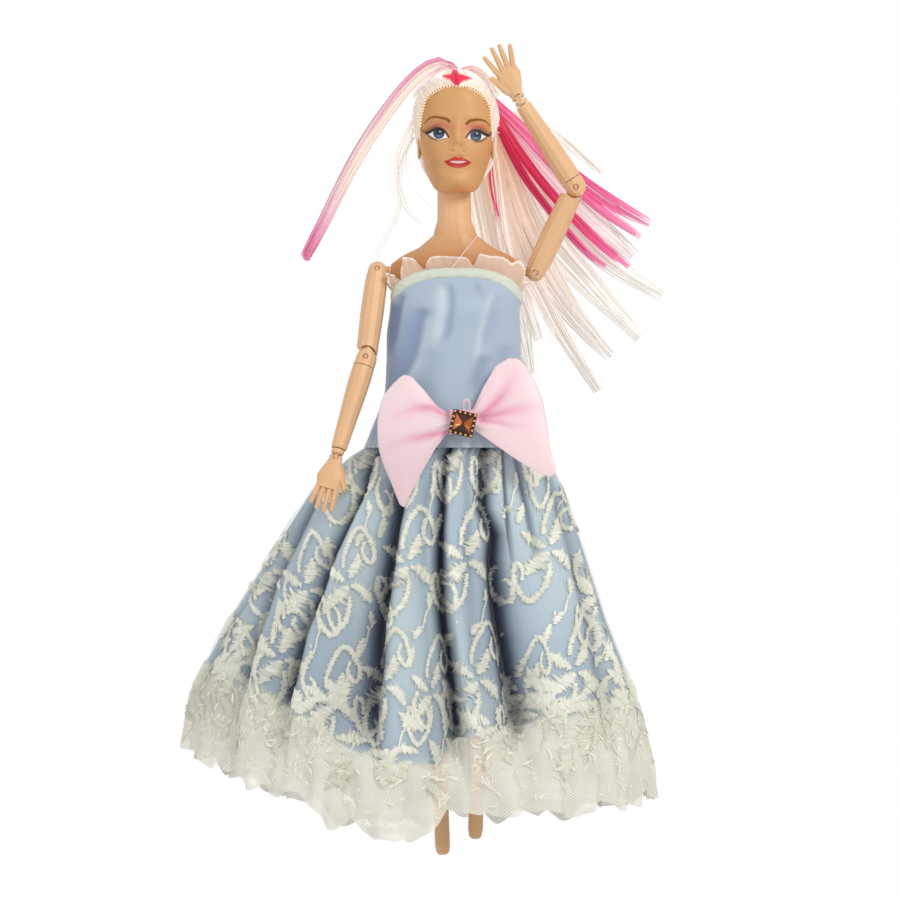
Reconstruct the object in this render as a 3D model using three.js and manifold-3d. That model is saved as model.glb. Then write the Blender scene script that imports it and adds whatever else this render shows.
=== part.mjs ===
// A jointed fashion doll in a strapless gown, about 300 mm from crown to toes.
// Millimetres, +Z up. The doll faces -Y and its left side is +X.
// The origin is in the middle of the waist, where a doll stand grips it.

import * as THREE from 'three';
import { mergeVertices } from 'three/addons/utils/BufferGeometryUtils.js';
import Module from 'manifold-3d';

const wasm = await Module();
wasm.setup();

// Clearances
const SEAT_GAP = 0.3;
const RUN_GAP = 0.35;

// Torso
const SHELL_WALL = 1.8;
const SHOULDER_Z = 36;
const SHOULDER_X = 30.5;
const SHOULDER_BALL = 4.0;
const BUST_Z = 22;
const BUST_DEPTH = 17.2;
const CHEST_HALF_WIDTH = 23;
const WAIST_HALF_WIDTH = 15.5;
const PELVIS_HALF_WIDTH = 20;
const NECK_RADIUS = 6.4;
const NECK_ROOM = 0.8;
const NECK_TOP = 69;
const HEAD_LEAN = -1;

// Head
const CHIN_Z = 66.6;
const HEAD_HEIGHT = 46;
const HEAD_HALF_WIDTH = 14.6;
const HEAD_WALL = 1.8;
const KNOB_RADIUS = 5.4;
const KNOB_SHAFT = 3.4;

// Arms
const UPPER_ARM = 36;
const FOREARM = 41.5;
const ARM_RADIUS = 4.5;
const ELBOW_RADIUS = 4.15;
const WRIST_RADIUS = 2.45;
const SHOULDER_SHAFT = 2.2;
const SHOULDER_TONGUE = 2.4;
const ELBOW_TONGUE = 2.4;
const ELBOW_EYE = 2.05;
const WRIST_TONGUE = 1.4;
const ARM_PIN = 0.8;
const WRIST_PIN = 0.45;
const SWIVEL_PEG = 1.7;
const WRIST_PEG = 1.2;
const PALM_LENGTH = 11;
const PALM_HALF_WIDTH = 5;
const FINGER_LENGTH = 9.6;
const FINGER_RADIUS = 1.15;

// Legs
const HIP_Z = -38;
const HIP_X = 12;
const HIP_BALL = 8;
const THIGH = 74;
const SHIN = 76;
const KNEE_RADIUS = 5.9;
const KNEE_TONGUE = 3.6;
const HIP_ROOM = 2.6;
const CROTCH_HALF_WIDTH = 2.4;
const HIP_AXLE = 1.6;
const HIP_SLEEVE = 2.9;
const HIP_TONGUE = 3;
const LEG_PIN = 1.1;

// Gown
const CLOTH = 0.9;
const BAND_HEIGHT = 4.3;
const BAND_THICKNESS = 1.2;
const NECKLINE_Z = 36.7;
const NECKLINE_DROP = 9;
const SEAM_Z = -31;
const SKIRT_FOLDS = 18;
const SKIRT_STEPS_PER_FOLD = 4;
const FOLD_DEPTH = 5.5;
const SKIRT_GAP = 0.6;
const SATIN_HEM_Z = -136;
const BOW_THICKNESS = 3;
const STONE_SIDE = 6.6;
const SETTING_SIDE = 9.2;
const BROOCH_TILT = -13;

// Hair
const HAIR_CAP = 1.4;
const LOCK_THICKNESS = 2;

// Pose of the figure as it stands: degrees from hanging straight down
const POSE = {
  left: { swing: 6, lift: 155, bend: 58, twist: 0, hip: 11, spread: -1.9, knee: 32 },
  right: { swing: -17, lift: 6.5, bend: 9, twist: 180, hip: 0, spread: -2.6, knee: 0 },
};

// Ranges of the joints with slots, in the same degrees
const LIFT_RANGE = [3, 164];
const BEND_RANGE = [0, 82];
const WRIST_RANGE = [-50, 50];
const SPREAD_RANGE = [-4, 20];
const KNEE_RANGE = [0, 45];

const COLOUR = {
  face: 0xd8aa73, skin: 0xe3b88e, steel: 0x9a9aa0, satin: 0x8ea6cf, band: 0xd9dcc6, organza: 0xf0dccb,
  lace: 0xdfe2d4, bow: 0xf3c4d4, gold: 0x9a7038, amber: 0x8f4d1c, blonde: 0xf0e4da, pink: 0xe8689a,
};
const finish = (color, roughness = 0.5, metalness = 0) => (
  () => new THREE.MeshStandardMaterial({ color, roughness, metalness })
);
const MATERIAL = {
  face: finish(COLOUR.face, 0.55),
  skin: finish(COLOUR.skin, 0.42),
  steel: finish(COLOUR.steel, 0.35, 0.9),
  satin: finish(COLOUR.satin, 0.5),
  band: finish(COLOUR.band, 0.8),
  organza: finish(COLOUR.organza, 0.6),
  lace: finish(COLOUR.lace, 0.85),
  bow: finish(COLOUR.bow, 0.4),
  gold: finish(COLOUR.gold, 0.4, 0.8),
  amber: finish(COLOUR.amber, 0.1),
  blonde: finish(COLOUR.blonde, 0.45),
  pink: finish(COLOUR.pink, 0.45),
};

const radians = THREE.MathUtils.degToRad;

// Geometry helpers

// Closed body through rings of equal point count, listed bottom to top, counter-clockwise from above
function loft(rings) {
  const count = rings[0].length;
  const points = rings.flat();
  const index = [];
  for (let r = 0; r < rings.length - 1; r += 1) {
    for (let i = 0; i < count; i += 1) {
      const a = r * count + i;
      const b = r * count + ((i + 1) % count);
      index.push(a, b, b + count, a, b + count, a + count);
    }
  }
  const lastRing = (rings.length - 1) * count;
  const bottom = points.push(centre(rings[0])) - 1;
  const top = points.push(centre(rings[rings.length - 1])) - 1;
  for (let i = 0; i < count; i += 1) {
    const next = (i + 1) % count;
    index.push(bottom, next, i);
    index.push(top, lastRing + i, lastRing + next);
  }
  return body(points, index);
}

// Closed wall between an outer and an inner sleeve, both open at the ends and with equal rings
function sleeve(outer, inner) {
  const count = outer[0].length;
  const rows = outer.length;
  const points = [...outer.flat(), ...inner.flat()];
  const index = [];
  const innerStart = rows * count;
  for (let i = 0; i < count; i += 1) {
    const next = (i + 1) % count;
    for (let r = 0; r < rows - 1; r += 1) {
      const a = r * count + i;
      const b = r * count + next;
      index.push(a, b, b + count, a, b + count, a + count);
      const c = innerStart + a;
      const d = innerStart + b;
      index.push(d, c, c + count, d, c + count, d + count);
    }
    const top = (rows - 1) * count;
    index.push(next, i, innerStart + i, next, innerStart + i, innerStart + next);
    index.push(top + i, top + next, innerStart + top + next);
    index.push(top + i, innerStart + top + next, innerStart + top + i);
  }
  return body(points, index);
}

function body(points, index) {
  const geometry = new THREE.BufferGeometry();
  geometry.setAttribute('position', new THREE.Float32BufferAttribute(points.flatMap((p) => [p.x, p.y, p.z]), 3));
  geometry.setIndex(index);
  return geometry;
}

function centre(ring) {
  return ring.reduce((sum, p) => sum.add(p), new THREE.Vector3()).divideScalar(ring.length);
}

// Level cross-section: [z, half width, front depth, back depth, x, y], squarer as power rises above 2
function section([z, halfWidth, front, back = front, x = 0, y = 0], sides, power = 2) {
  const ring = [];
  for (let i = 0; i < sides; i += 1) {
    ring.push(sectionPoint([z, halfWidth, front, back, x, y], (2 * Math.PI * i) / sides, power));
  }
  return ring;
}

function sectionPoint([z, halfWidth, front, back, x = 0, y = 0], angle, power = 2) {
  const c = Math.cos(angle);
  const s = Math.sin(angle);
  const depth = s < 0 ? front : back;
  return new THREE.Vector3(
    x + halfWidth * Math.sign(c) * Math.abs(c) ** (2 / power),
    y + depth * Math.sign(s) * Math.abs(s) ** (2 / power),
    z,
  );
}

function loftRows(rows, sides, power) {
  return loft(rows.map((row) => section(row, sides, power)));
}

// The row that a table of cross-sections has at height z
function rowAt(rows, z) {
  const upper = Math.max(1, rows.findIndex((row, i) => row[0] >= z || i === rows.length - 1));
  const low = rows[upper - 1];
  const high = rows[upper];
  const share = (z - low[0]) / (high[0] - low[0]);
  return low.map((value, i) => value + ((high[i] ?? 0) - value) * share);
}

function grow([z, halfWidth, front, back, ...place], by) {
  return [z, halfWidth + by, front + by, back + by, ...place];
}

// Round bar along a curve, flattened across Y, with a width for each point
function lock(points, widths, thickness, sides = 6, steps = 7) {
  const curve = new THREE.CatmullRomCurve3(points.map(([x, y, z]) => new THREE.Vector3(x, y, z)));
  const rings = [];
  for (let k = 0; k <= steps; k += 1) {
    const t = k / steps;
    const place = curve.getPointAt(t);
    const along = curve.getTangentAt(t);
    const through = new THREE.Vector3(0, 1, 0).addScaledVector(along, -along.y).normalize();
    const across = new THREE.Vector3().crossVectors(through, along);
    const at = t * (widths.length - 1);
    const low = Math.min(Math.floor(at), widths.length - 2);
    const width = widths[low] + (widths[low + 1] - widths[low]) * (at - low);
    const depth = Math.min(thickness, width);
    const ring = [];
    for (let i = 0; i < sides; i += 1) {
      const angle = (2 * Math.PI * i) / sides;
      ring.push(place.clone()
        .addScaledVector(across, (width / 2) * Math.cos(angle))
        .addScaledVector(through, (depth / 2) * Math.sin(angle)));
    }
    rings.push(ring);
  }
  return loft(rings);
}

function rod(radius, length, axis, sides = 12) {
  const geometry = new THREE.CylinderGeometry(radius, radius, length, sides);
  if (axis === 'x') geometry.rotateZ(Math.PI / 2);
  if (axis === 'z') geometry.rotateX(Math.PI / 2);
  return geometry;
}

// Flat bar in the XZ plane with a round end about the origin. Swept from one angle to another,
// it is the slot in which such a bar swings. Angles run from +X towards +Z.
function tongue({ from, to = from, halfHeight, reach, width }) {
  const at = (radius, degrees) => new THREE.Vector2(
    radius * Math.cos(radians(degrees)),
    radius * Math.sin(radians(degrees)),
  );
  const outline = [at(reach, from).add(at(halfHeight, from - 90))];
  const backSpan = from - to + 180;
  const backSteps = Math.max(2, Math.ceil(backSpan / 30));
  for (let i = 0; i <= backSteps; i += 1) {
    outline.push(at(halfHeight, from - 90 - (backSpan * i) / backSteps));
  }
  outline.push(at(reach, to).add(at(halfHeight, to + 90)));
  const outerSteps = Math.floor((to - from) / 30);
  for (let i = 1; i < outerSteps; i += 1) {
    outline.push(at(reach * 1.1, to - ((to - from) * i) / outerSteps));
  }
  const geometry = new THREE.ExtrudeGeometry(new THREE.Shape(outline), { depth: width, bevelEnabled: false });
  return geometry.rotateX(Math.PI / 2).translate(0, width / 2, 0);
}

function toSolid(geometry) {
  const bare = geometry.clone();
  bare.deleteAttribute('normal');
  bare.deleteAttribute('uv');
  const merged = mergeVertices(bare, 1e-4);
  return new wasm.Manifold(new wasm.Mesh({
    numProp: 3,
    vertProperties: new Float32Array(merged.attributes.position.array),
    triVerts: new Uint32Array(merged.index.array),
  }));
}

function toGeometry(solid) {
  const mesh = solid.getMesh();
  const geometry = new THREE.BufferGeometry();
  geometry.setAttribute('position', new THREE.BufferAttribute(mesh.vertProperties, 3));
  geometry.setIndex(new THREE.BufferAttribute(mesh.triVerts, 1));
  return geometry;
}

function cut(geometry, ...tools) {
  return toGeometry(tools.reduce((solid, tool) => solid.subtract(toSolid(tool)), toSolid(geometry)));
}

function join(geometry, ...others) {
  return toGeometry(others.reduce((solid, other) => solid.add(toSolid(other)), toSolid(geometry)));
}

function keep(geometry, tool) {
  return toGeometry(toSolid(geometry).intersect(toSolid(tool)));
}

// The same body for the other side of the figure
function mirrored(geometry) {
  const copy = geometry.clone().scale(-1, 1, 1);
  const index = copy.index.array;
  for (let i = 0; i < index.length; i += 3) {
    [index[i], index[i + 1]] = [index[i + 1], index[i]];
  }
  return copy;
}

function onSide(side, geometry) {
  return side > 0 ? geometry : mirrored(geometry);
}

function piece(name, geometry, material) {
  const mesh = new THREE.Mesh(geometry, material());
  mesh.name = name;
  return mesh;
}

function nest(parent, place, rotation, ...children) {
  const group = new THREE.Group();
  group.position.set(...place);
  group.rotation.set(...rotation.map(radians));
  group.add(...children);
  parent.add(group);
  return group;
}

// Torso

const TORSO_SIDE = SHOULDER_X - SHOULDER_BALL - SEAT_GAP;
const TORSO_POWER = 2.3;
const TORSO_ROWS = [
  [HIP_Z - 9.5, 4.5, 6, 6],
  [HIP_Z - 6, 10, 9, 9.5],
  [HIP_Z, 17.5, 11, 12.5],
  [HIP_Z + 8, PELVIS_HALF_WIDTH, 12, 14],
  [HIP_Z + 18, PELVIS_HALF_WIDTH - 0.7, 12, 13],
  [-10, WAIST_HALF_WIDTH + 1.6, 11, 10.5],
  [0, WAIST_HALF_WIDTH, 10.5, 9],
  [10, WAIST_HALF_WIDTH + 3, 12, 9.2],
  [BUST_Z - 6, CHEST_HALF_WIDTH - 1.5, BUST_DEPTH - 1.5, 9.4],
  [BUST_Z, CHEST_HALF_WIDTH, BUST_DEPTH, 9.3],
  [BUST_Z + 6, CHEST_HALF_WIDTH + 0.4, BUST_DEPTH - 4.5, 8.8],
  [SHOULDER_Z - 4, TORSO_SIDE - 0.6, 10, 8.4],
  [SHOULDER_Z, TORSO_SIDE, 8.6, 8.2],
  [SHOULDER_Z + 3, TORSO_SIDE - 1, 8.2, 8.4],
  [SHOULDER_Z + 6, TORSO_SIDE - 5, 8, 8.4],
  [SHOULDER_Z + 9.5, 14, 7.4, 8, HEAD_LEAN * 0.2],
  [SHOULDER_Z + 14, 8.5, 6.8, 7, HEAD_LEAN * 0.5],
  [SHOULDER_Z + 20, NECK_RADIUS + 0.2, NECK_RADIUS, NECK_RADIUS, HEAD_LEAN * 0.8],
  [NECK_TOP, NECK_RADIUS, NECK_RADIUS, NECK_RADIUS, HEAD_LEAN],
].map(([z, halfWidth, front, back, x = 0, y = 0]) => [z, halfWidth, front, back, x, y]);
const BIG = 400;

function torsoShells() {
  const outer = loftRows(TORSO_ROWS, 18, TORSO_POWER);
  const cavityRows = TORSO_ROWS.filter((row, i) => i > 3 && i < 17 && i % 2 === 0);
  const inner = loftRows([rowAt(TORSO_ROWS, HIP_Z + 5), ...cavityRows].map((row) => grow(row, -SHELL_WALL)),
    10, TORSO_POWER);
  const sockets = [-1, 1].flatMap((side) => [
    new THREE.SphereGeometry(HIP_BALL + HIP_ROOM, 14, 8).rotateX(Math.PI / 2).translate(side * HIP_X, 0, HIP_Z),
    new THREE.BoxGeometry(BIG, BIG, BIG)
      .translate(side * (BIG / 2 + CROTCH_HALF_WIDTH), 0, HIP_Z - 3.5 - BIG / 2),
  ]);
  const shoulderBore = rod(SHOULDER_SHAFT + RUN_GAP, 2 * SHOULDER_X, 'x', 12).translate(0, 0, SHOULDER_Z);
  const axleBore = rod(HIP_AXLE + SEAT_GAP, 2 * HIP_X, 'x', 12).translate(0, 0, HIP_Z);
  const neckBore = rod(KNOB_SHAFT + SEAT_GAP, 30, 'z', 16).translate(HEAD_LEAN, 0, NECK_TOP - 6);
  const shell = cut(outer, inner, ...sockets, shoulderBore, axleBore, neckBore);
  const half = (side) => new THREE.BoxGeometry(BIG, BIG, BIG).translate(0, side * (BIG / 2 + SEAT_GAP / 2), 0);
  return [keep(shell, half(-1)), keep(shell, half(1))];
}

// Neck knob and head

const HEAD_FLOOR = NECK_TOP + SEAT_GAP;
const KNOB_Z = HEAD_FLOOR + HEAD_WALL + RUN_GAP;

function neckKnob() {
  const shaftBottom = NECK_TOP - 16;
  const shaft = rod(KNOB_SHAFT, KNOB_Z - shaftBottom + 1, 'z', 16).translate(0, 0, (KNOB_Z + shaftBottom + 1) / 2);
  const knob = loftRows([
    [KNOB_Z, KNOB_RADIUS, KNOB_RADIUS],
    [KNOB_Z + 2, KNOB_RADIUS, KNOB_RADIUS],
    [KNOB_Z + 5, KNOB_SHAFT, KNOB_SHAFT],
  ], 16);
  return join(shaft, knob);
}

// Share of the head's height, then half width, front and back as shares of the half width, and y
const HEAD_SHAPE = [
  [0.0, 0.34, 0.22, 0.22, -0.62],
  [0.035, 0.56, 0.5, 0.7, -0.4],
  [0.09, 0.72, 0.78, 0.7, -0.18],
  [0.16, 0.82, 0.98, 0.8, 0],
  [0.25, 0.9, 1.02, 0.95, 0],
  [0.38, 0.97, 1.02, 1.05, 0],
  [0.52, 1.02, 1.0, 1.13, 0],
  [0.64, 1.0, 0.99, 1.15, 0],
  [0.76, 0.93, 0.95, 1.1, 0],
  [0.86, 0.79, 0.84, 0.97, 0],
  [0.93, 0.6, 0.66, 0.78, 0],
  [0.98, 0.33, 0.37, 0.45, 0],
  [1.0, 0.06, 0.07, 0.08, 0],
];

function headRows(by = 0) {
  return HEAD_SHAPE.map(([share, width, front, back, y]) => [
    CHIN_Z + share * HEAD_HEIGHT,
    width * HEAD_HALF_WIDTH + by,
    front * HEAD_HALF_WIDTH + by,
    back * HEAD_HALF_WIDTH + by,
    0,
    y * HEAD_HALF_WIDTH,
  ]);
}

function head() {
  const skull = loftRows(headRows(), 18);
  const nose = loftRows([
    [CHIN_Z + 16.2, 0.8, 0.6, 3, 0, -15.6],
    [CHIN_Z + 17, 1.9, 2.3, 3, 0, -15.4],
    [CHIN_Z + 18.4, 1.6, 2.7, 3, 0, -15.2],
    [CHIN_Z + 22, 1.1, 1.6, 3, 0, -15],
    [CHIN_Z + 27, 0.9, 0.5, 3, 0, -14.7],
  ], 6);
  const ears = [-1, 1].map((side) => loftRows([
    [CHIN_Z + 13, 0.7, 1, 1, 0, 0],
    [CHIN_Z + 15, 1.6, 1.7, 1.7, 0, 0],
    [CHIN_Z + 20, 1.7, 2.4, 2.2, 0, 0.6],
    [CHIN_Z + 22.5, 0.8, 1.2, 1.2, 0, 0.8],
  ], 6).translate(side * (HEAD_HALF_WIDTH - 0.9), 1.5, 0));
  const hollow = loftRows([
    [HEAD_FLOOR + HEAD_WALL, 0.6, 0.6, 0.6],
    [0.2, 0.68, 0.7, 0.6],
    [0.4, 0.84, 0.86, 0.9],
    [0.64, 0.87, 0.84, 1.0],
    [0.84, 0.7, 0.72, 0.84],
    [0.94, 0.36, 0.38, 0.46],
  ].map(([height, width, front, back]) => [
    height > 1 ? height : CHIN_Z + height * HEAD_HEIGHT,
    width * HEAD_HALF_WIDTH,
    front * HEAD_HALF_WIDTH,
    back * HEAD_HALF_WIDTH,
  ]), 12);
  const neckPocket = rod(NECK_RADIUS + NECK_ROOM, 20, 'z', 20).translate(0, 0, HEAD_FLOOR - 10);
  const knobHole = rod(KNOB_SHAFT + RUN_GAP, 20, 'z', 12).translate(0, 0, HEAD_FLOOR);
  return cut(join(skull, nose, ...ears), neckPocket, hollow, knobHole);
}

// Arms. Each is drawn for the left side, hanging down -Z from the shoulder, with +X away from the body.

function shoulderJoint() {
  const flangeX = -(SHOULDER_BALL + SEAT_GAP + SHELL_WALL + 7.4);
  const shaftEnd = -SHOULDER_BALL - 0.45;
  const bar = tongue({
    from: 180, halfHeight: SHOULDER_SHAFT - 0.35, reach: SHOULDER_BALL + 1.5, width: SHOULDER_TONGUE,
  });
  const shaft = rod(SHOULDER_SHAFT, shaftEnd - flangeX, 'x', 12).translate((flangeX + shaftEnd) / 2, 0, 0);
  const flange = rod(SHOULDER_SHAFT + 1, 1.4, 'x', 12).translate(flangeX, 0, 0);
  return cut(join(bar, shaft, flange), rod(ARM_PIN + SEAT_GAP, 10, 'y', 10));
}

function pin(radius, length, axis) {
  return rod(radius, length, axis, 10);
}

const BARREL_HALF_DEPTH = ELBOW_RADIUS - 0.05;

function upperArm() {
  const ball = SHOULDER_BALL;
  const limb = loftRows([
    [-UPPER_ARM - 2, ELBOW_RADIUS, BARREL_HALF_DEPTH],
    [-UPPER_ARM + 6, ELBOW_RADIUS, BARREL_HALF_DEPTH],
    [-UPPER_ARM * 0.5, ARM_RADIUS, ARM_RADIUS],
    [-UPPER_ARM * 0.2, ARM_RADIUS - 0.1, ARM_RADIUS],
    [0, ball, ball + 0.3],
    [ball * 0.5, ball * 0.87, ball * 0.9],
    [ball * 0.87, ball * 0.5, ball * 0.55],
    [ball, ball * 0.12, ball * 0.15],
  ], 12);
  const seat = rod(ELBOW_RADIUS + RUN_GAP, 4 * ELBOW_RADIUS, 'y', 18).translate(0, 0, -UPPER_ARM);
  const slope = new THREE.BoxGeometry(BIG, BIG, BIG).translate(0, 0, -BIG / 2)
    .rotateY(radians(-22)).translate(0, 0, -UPPER_ARM + 3);
  const elbowBar = tongue({
    from: 90, halfHeight: ELBOW_EYE, reach: ELBOW_RADIUS + 3, width: ELBOW_TONGUE,
  }).translate(0, 0, -UPPER_ARM);
  const shoulderSlot = tongue({
    from: 180 - LIFT_RANGE[1],
    to: 180 - LIFT_RANGE[0],
    halfHeight: SHOULDER_SHAFT + RUN_GAP,
    reach: ball * 3,
    width: SHOULDER_TONGUE + 2 * SEAT_GAP,
  });
  const shoulderHole = rod(ARM_PIN + SEAT_GAP, 4 * ball, 'y', 10);
  const elbowHole = rod(ARM_PIN + SEAT_GAP, 4 * ball, 'y', 10).translate(0, 0, -UPPER_ARM);
  return cut(join(cut(limb, seat, slope), elbowBar), shoulderSlot, shoulderHole, elbowHole);
}

const BARREL_BOTTOM = -3.2;

function elbowConnector() {
  const r = ELBOW_RADIUS;
  const chord = (z) => Math.sqrt(r * r - z * z);
  const barrel = loftRows([
    [BARREL_BOTTOM, r, BARREL_HALF_DEPTH],
    [0, r, BARREL_HALF_DEPTH],
    ...[0.42, 0.74, 0.93].map((share) => [share * r, chord(share * r), BARREL_HALF_DEPTH - share * 0.4]),
    [r, 0.3, BARREL_HALF_DEPTH - 0.6],
  ], 12);
  const slot = tongue({
    from: 90 - BEND_RANGE[1],
    to: 90 - BEND_RANGE[0],
    halfHeight: ELBOW_EYE + RUN_GAP,
    reach: r * 2,
    width: ELBOW_TONGUE + 2 * SEAT_GAP,
  });
  const peg = rod(SWIVEL_PEG, 5.6, 'z', 10).translate(0, 0, BARREL_BOTTOM - 2.2);
  return cut(join(cut(barrel, slot), peg), rod(ARM_PIN + SEAT_GAP, 4 * r, 'y', 10));
}

const WRIST_BARREL_TOP = 4.1;
const WRIST_BARREL_BOTTOM = 2.3;

function forearm() {
  const end = -FOREARM + WRIST_BARREL_TOP + SEAT_GAP;
  const limb = loftRows([
    [end, WRIST_RADIUS + 0.4, WRIST_RADIUS + 0.4],
    [end + 0.8, WRIST_RADIUS + 0.6, WRIST_RADIUS + 0.6],
    [-FOREARM * 0.6, WRIST_RADIUS + 1.1, WRIST_RADIUS + 1],
    [-FOREARM * 0.36, ELBOW_RADIUS - 0.1, ELBOW_RADIUS - 0.2],
    [-FOREARM * 0.2, ELBOW_RADIUS + 0.1, ELBOW_RADIUS],
    [BARREL_BOTTOM - SEAT_GAP, ELBOW_RADIUS, BARREL_HALF_DEPTH],
  ], 12);
  const swivelBore = rod(SWIVEL_PEG + RUN_GAP, 12, 'z', 10).translate(0, 0, BARREL_BOTTOM);
  const wristBore = rod(WRIST_PEG + RUN_GAP, 10, 'z', 8).translate(0, 0, end);
  return cut(limb, swivelBore, wristBore);
}

// The wrist joint and the hand are drawn about the wrist's own pivot
const HAND_DOME = 1.95;

function wristJoint() {
  const barrel = loftRows([
    [WRIST_BARREL_BOTTOM, WRIST_RADIUS - 0.2, WRIST_RADIUS - 0.2],
    [WRIST_BARREL_BOTTOM + 0.5, WRIST_RADIUS, WRIST_RADIUS],
    [WRIST_BARREL_TOP - 0.4, WRIST_RADIUS, WRIST_RADIUS],
    [WRIST_BARREL_TOP, WRIST_RADIUS - 0.2, WRIST_RADIUS - 0.2],
  ], 12);
  const peg = rod(WRIST_PEG, 5, 'z', 8).translate(0, 0, WRIST_BARREL_TOP + 2);
  const bar = tongue({
    from: 90, halfHeight: HAND_DOME * 0.58, reach: WRIST_BARREL_BOTTOM + 0.8, width: WRIST_TONGUE,
  }).rotateZ(Math.PI / 2);
  return cut(join(barrel, peg, bar), rod(WRIST_PIN + 0.2, 8, 'x', 8));
}

// Each finger: x where it leaves the palm, lean in degrees, share of the finger length
const SPREAD_FINGERS = [[3.5, 17, 0.86], [1.25, 3, 1], [-1.15, -2, 0.96], [-3.4, -15, 0.78]];
const CLOSED_FINGERS = [[3.4, 4, 0.88], [1.2, -1, 1], [-1.1, -5, 0.95], [-3.3, -9, 0.78]];

// Palm towards -Y and thumb towards +X, as on a left hand that hangs with its palm to the front
function hand(fingers, curl, lean) {
  const d = HAND_DOME;
  const rise = (z) => Math.sqrt(d * d - z * z);
  const aside = (z) => z * Math.tan(radians(lean));
  const palm = loftRows([
    [-PALM_LENGTH - 0.5, PALM_HALF_WIDTH - 1.1, 1, 1],
    [-PALM_LENGTH * 0.66, PALM_HALF_WIDTH, 1.7, 1.6],
    [-PALM_LENGTH * 0.4, PALM_HALF_WIDTH - 0.8, 1.9, 1.8],
    [-PALM_LENGTH * 0.15, 3, 1.9, 1.9],
    [0, 2.7, d, d],
    [d * 0.6, 2.6, rise(d * 0.6), rise(d * 0.6)],
    [d, 2, 0.2, 0.2],
  ].map(([z, ...size]) => [z, ...size, aside(Math.min(z, 0)), 0]), 10);
  const digits = fingers.map(([x, spread, share]) => {
    const length = FINGER_LENGTH * share;
    const r = FINGER_RADIUS;
    return loftRows([
      [-length, r * 0.35, r * 0.35, r * 0.35, 0, -curl],
      [-length + 0.6, r * 0.7, r * 0.66, r * 0.66, 0, -curl],
      [-length * 0.5, r * 0.88, r * 0.85, r * 0.85, 0, -curl * 0.4],
      [2.2, r, r * 0.9, r * 0.9],
    ], 6).rotateY(radians(lean - spread)).translate(x + aside(-PALM_LENGTH), -0.2, -PALM_LENGTH);
  });
  const thumb = loftRows([
    [-7, 0.4, 0.4, 0.4],
    [-6.4, 0.95, 0.9, 0.9],
    [-3, 1.2, 1.1, 1.1],
    [0, 1.5, 1.4, 1.4],
    [2.6, 1.2, 1.1, 1.1],
  ], 6).rotateY(radians(lean - 26)).translate(3.5 + aside(-4.5), -0.4, -4.5);
  const slot = tongue({
    from: 90 + WRIST_RANGE[0],
    to: 90 + WRIST_RANGE[1],
    halfHeight: d * 0.58 + 0.25,
    reach: d * 2,
    width: WRIST_TONGUE + 2 * 0.25,
  }).rotateZ(Math.PI / 2);
  return cut(join(palm, ...digits, thumb), slot, rod(WRIST_PIN + 0.2, 12, 'x', 8));
}

function addArm(doll, side, name, pose, fingers, curl, lean) {
  const skin = MATERIAL.skin;
  const part = (label, geometry, material = skin) => piece(`${label}_${name}`, onSide(side, geometry), material);
  const pinLength = 2 * BARREL_HALF_DEPTH - 0.6;
  const shoulder = nest(doll, [side * SHOULDER_X, 0, SHOULDER_Z], [pose.swing, 0, 0],
    part('shoulder_joint', toSolidCopy(shoulderJoint())));
  const upper = nest(shoulder, [0, 0, 0], [0, -side * pose.lift, 0],
    part('upper_arm', upperArm()),
    part('shoulder_pin', toSolidCopy(pin(ARM_PIN, 2 * SHOULDER_BALL - 0.4, 'y')), MATERIAL.steel));
  const elbow = nest(upper, [0, 0, -UPPER_ARM], [0, -side * pose.bend, 0],
    part('elbow_connector', elbowConnector()),
    part('elbow_pin', toSolidCopy(pin(ARM_PIN, pinLength, 'y')), MATERIAL.steel));
  const lower = nest(elbow, [0, 0, 0], [0, 0, side * pose.twist],
    part('forearm', forearm()));
  nest(lower, [0, 0, -FOREARM], [0, 0, 0],
    part('wrist_joint', wristJoint()),
    part('hand', hand(fingers, curl, lean)),
    part('wrist_pin', toSolidCopy(pin(WRIST_PIN, 4.4, 'x')), MATERIAL.steel));
}

// A library shape as an indexed body with its shared corners merged
function toSolidCopy(geometry) {
  return toGeometry(toSolid(geometry));
}

// Legs. Each is drawn for the left side, hanging down -Z from the hip, with +X away from the body.

function hipJoint() {
  const sleeveInside = HIP_X - HIP_BALL + 0.6 - HIP_X;
  const tube = rod(HIP_SLEEVE, 4.4, 'x', 14).translate(sleeveInside + 2.2, 0, 0).translate(-0.4, 0, 0);
  const bar = tongue({ from: 180, halfHeight: HIP_SLEEVE - 0.2, reach: 3.6, width: HIP_TONGUE });
  const axleBore = rod(HIP_AXLE + RUN_GAP, 7, 'x', 12).translate(-HIP_BALL + 0.7, 0, 0);
  return cut(join(tube, bar), axleBore, rod(LEG_PIN + SEAT_GAP, 10, 'y', 10));
}

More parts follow.
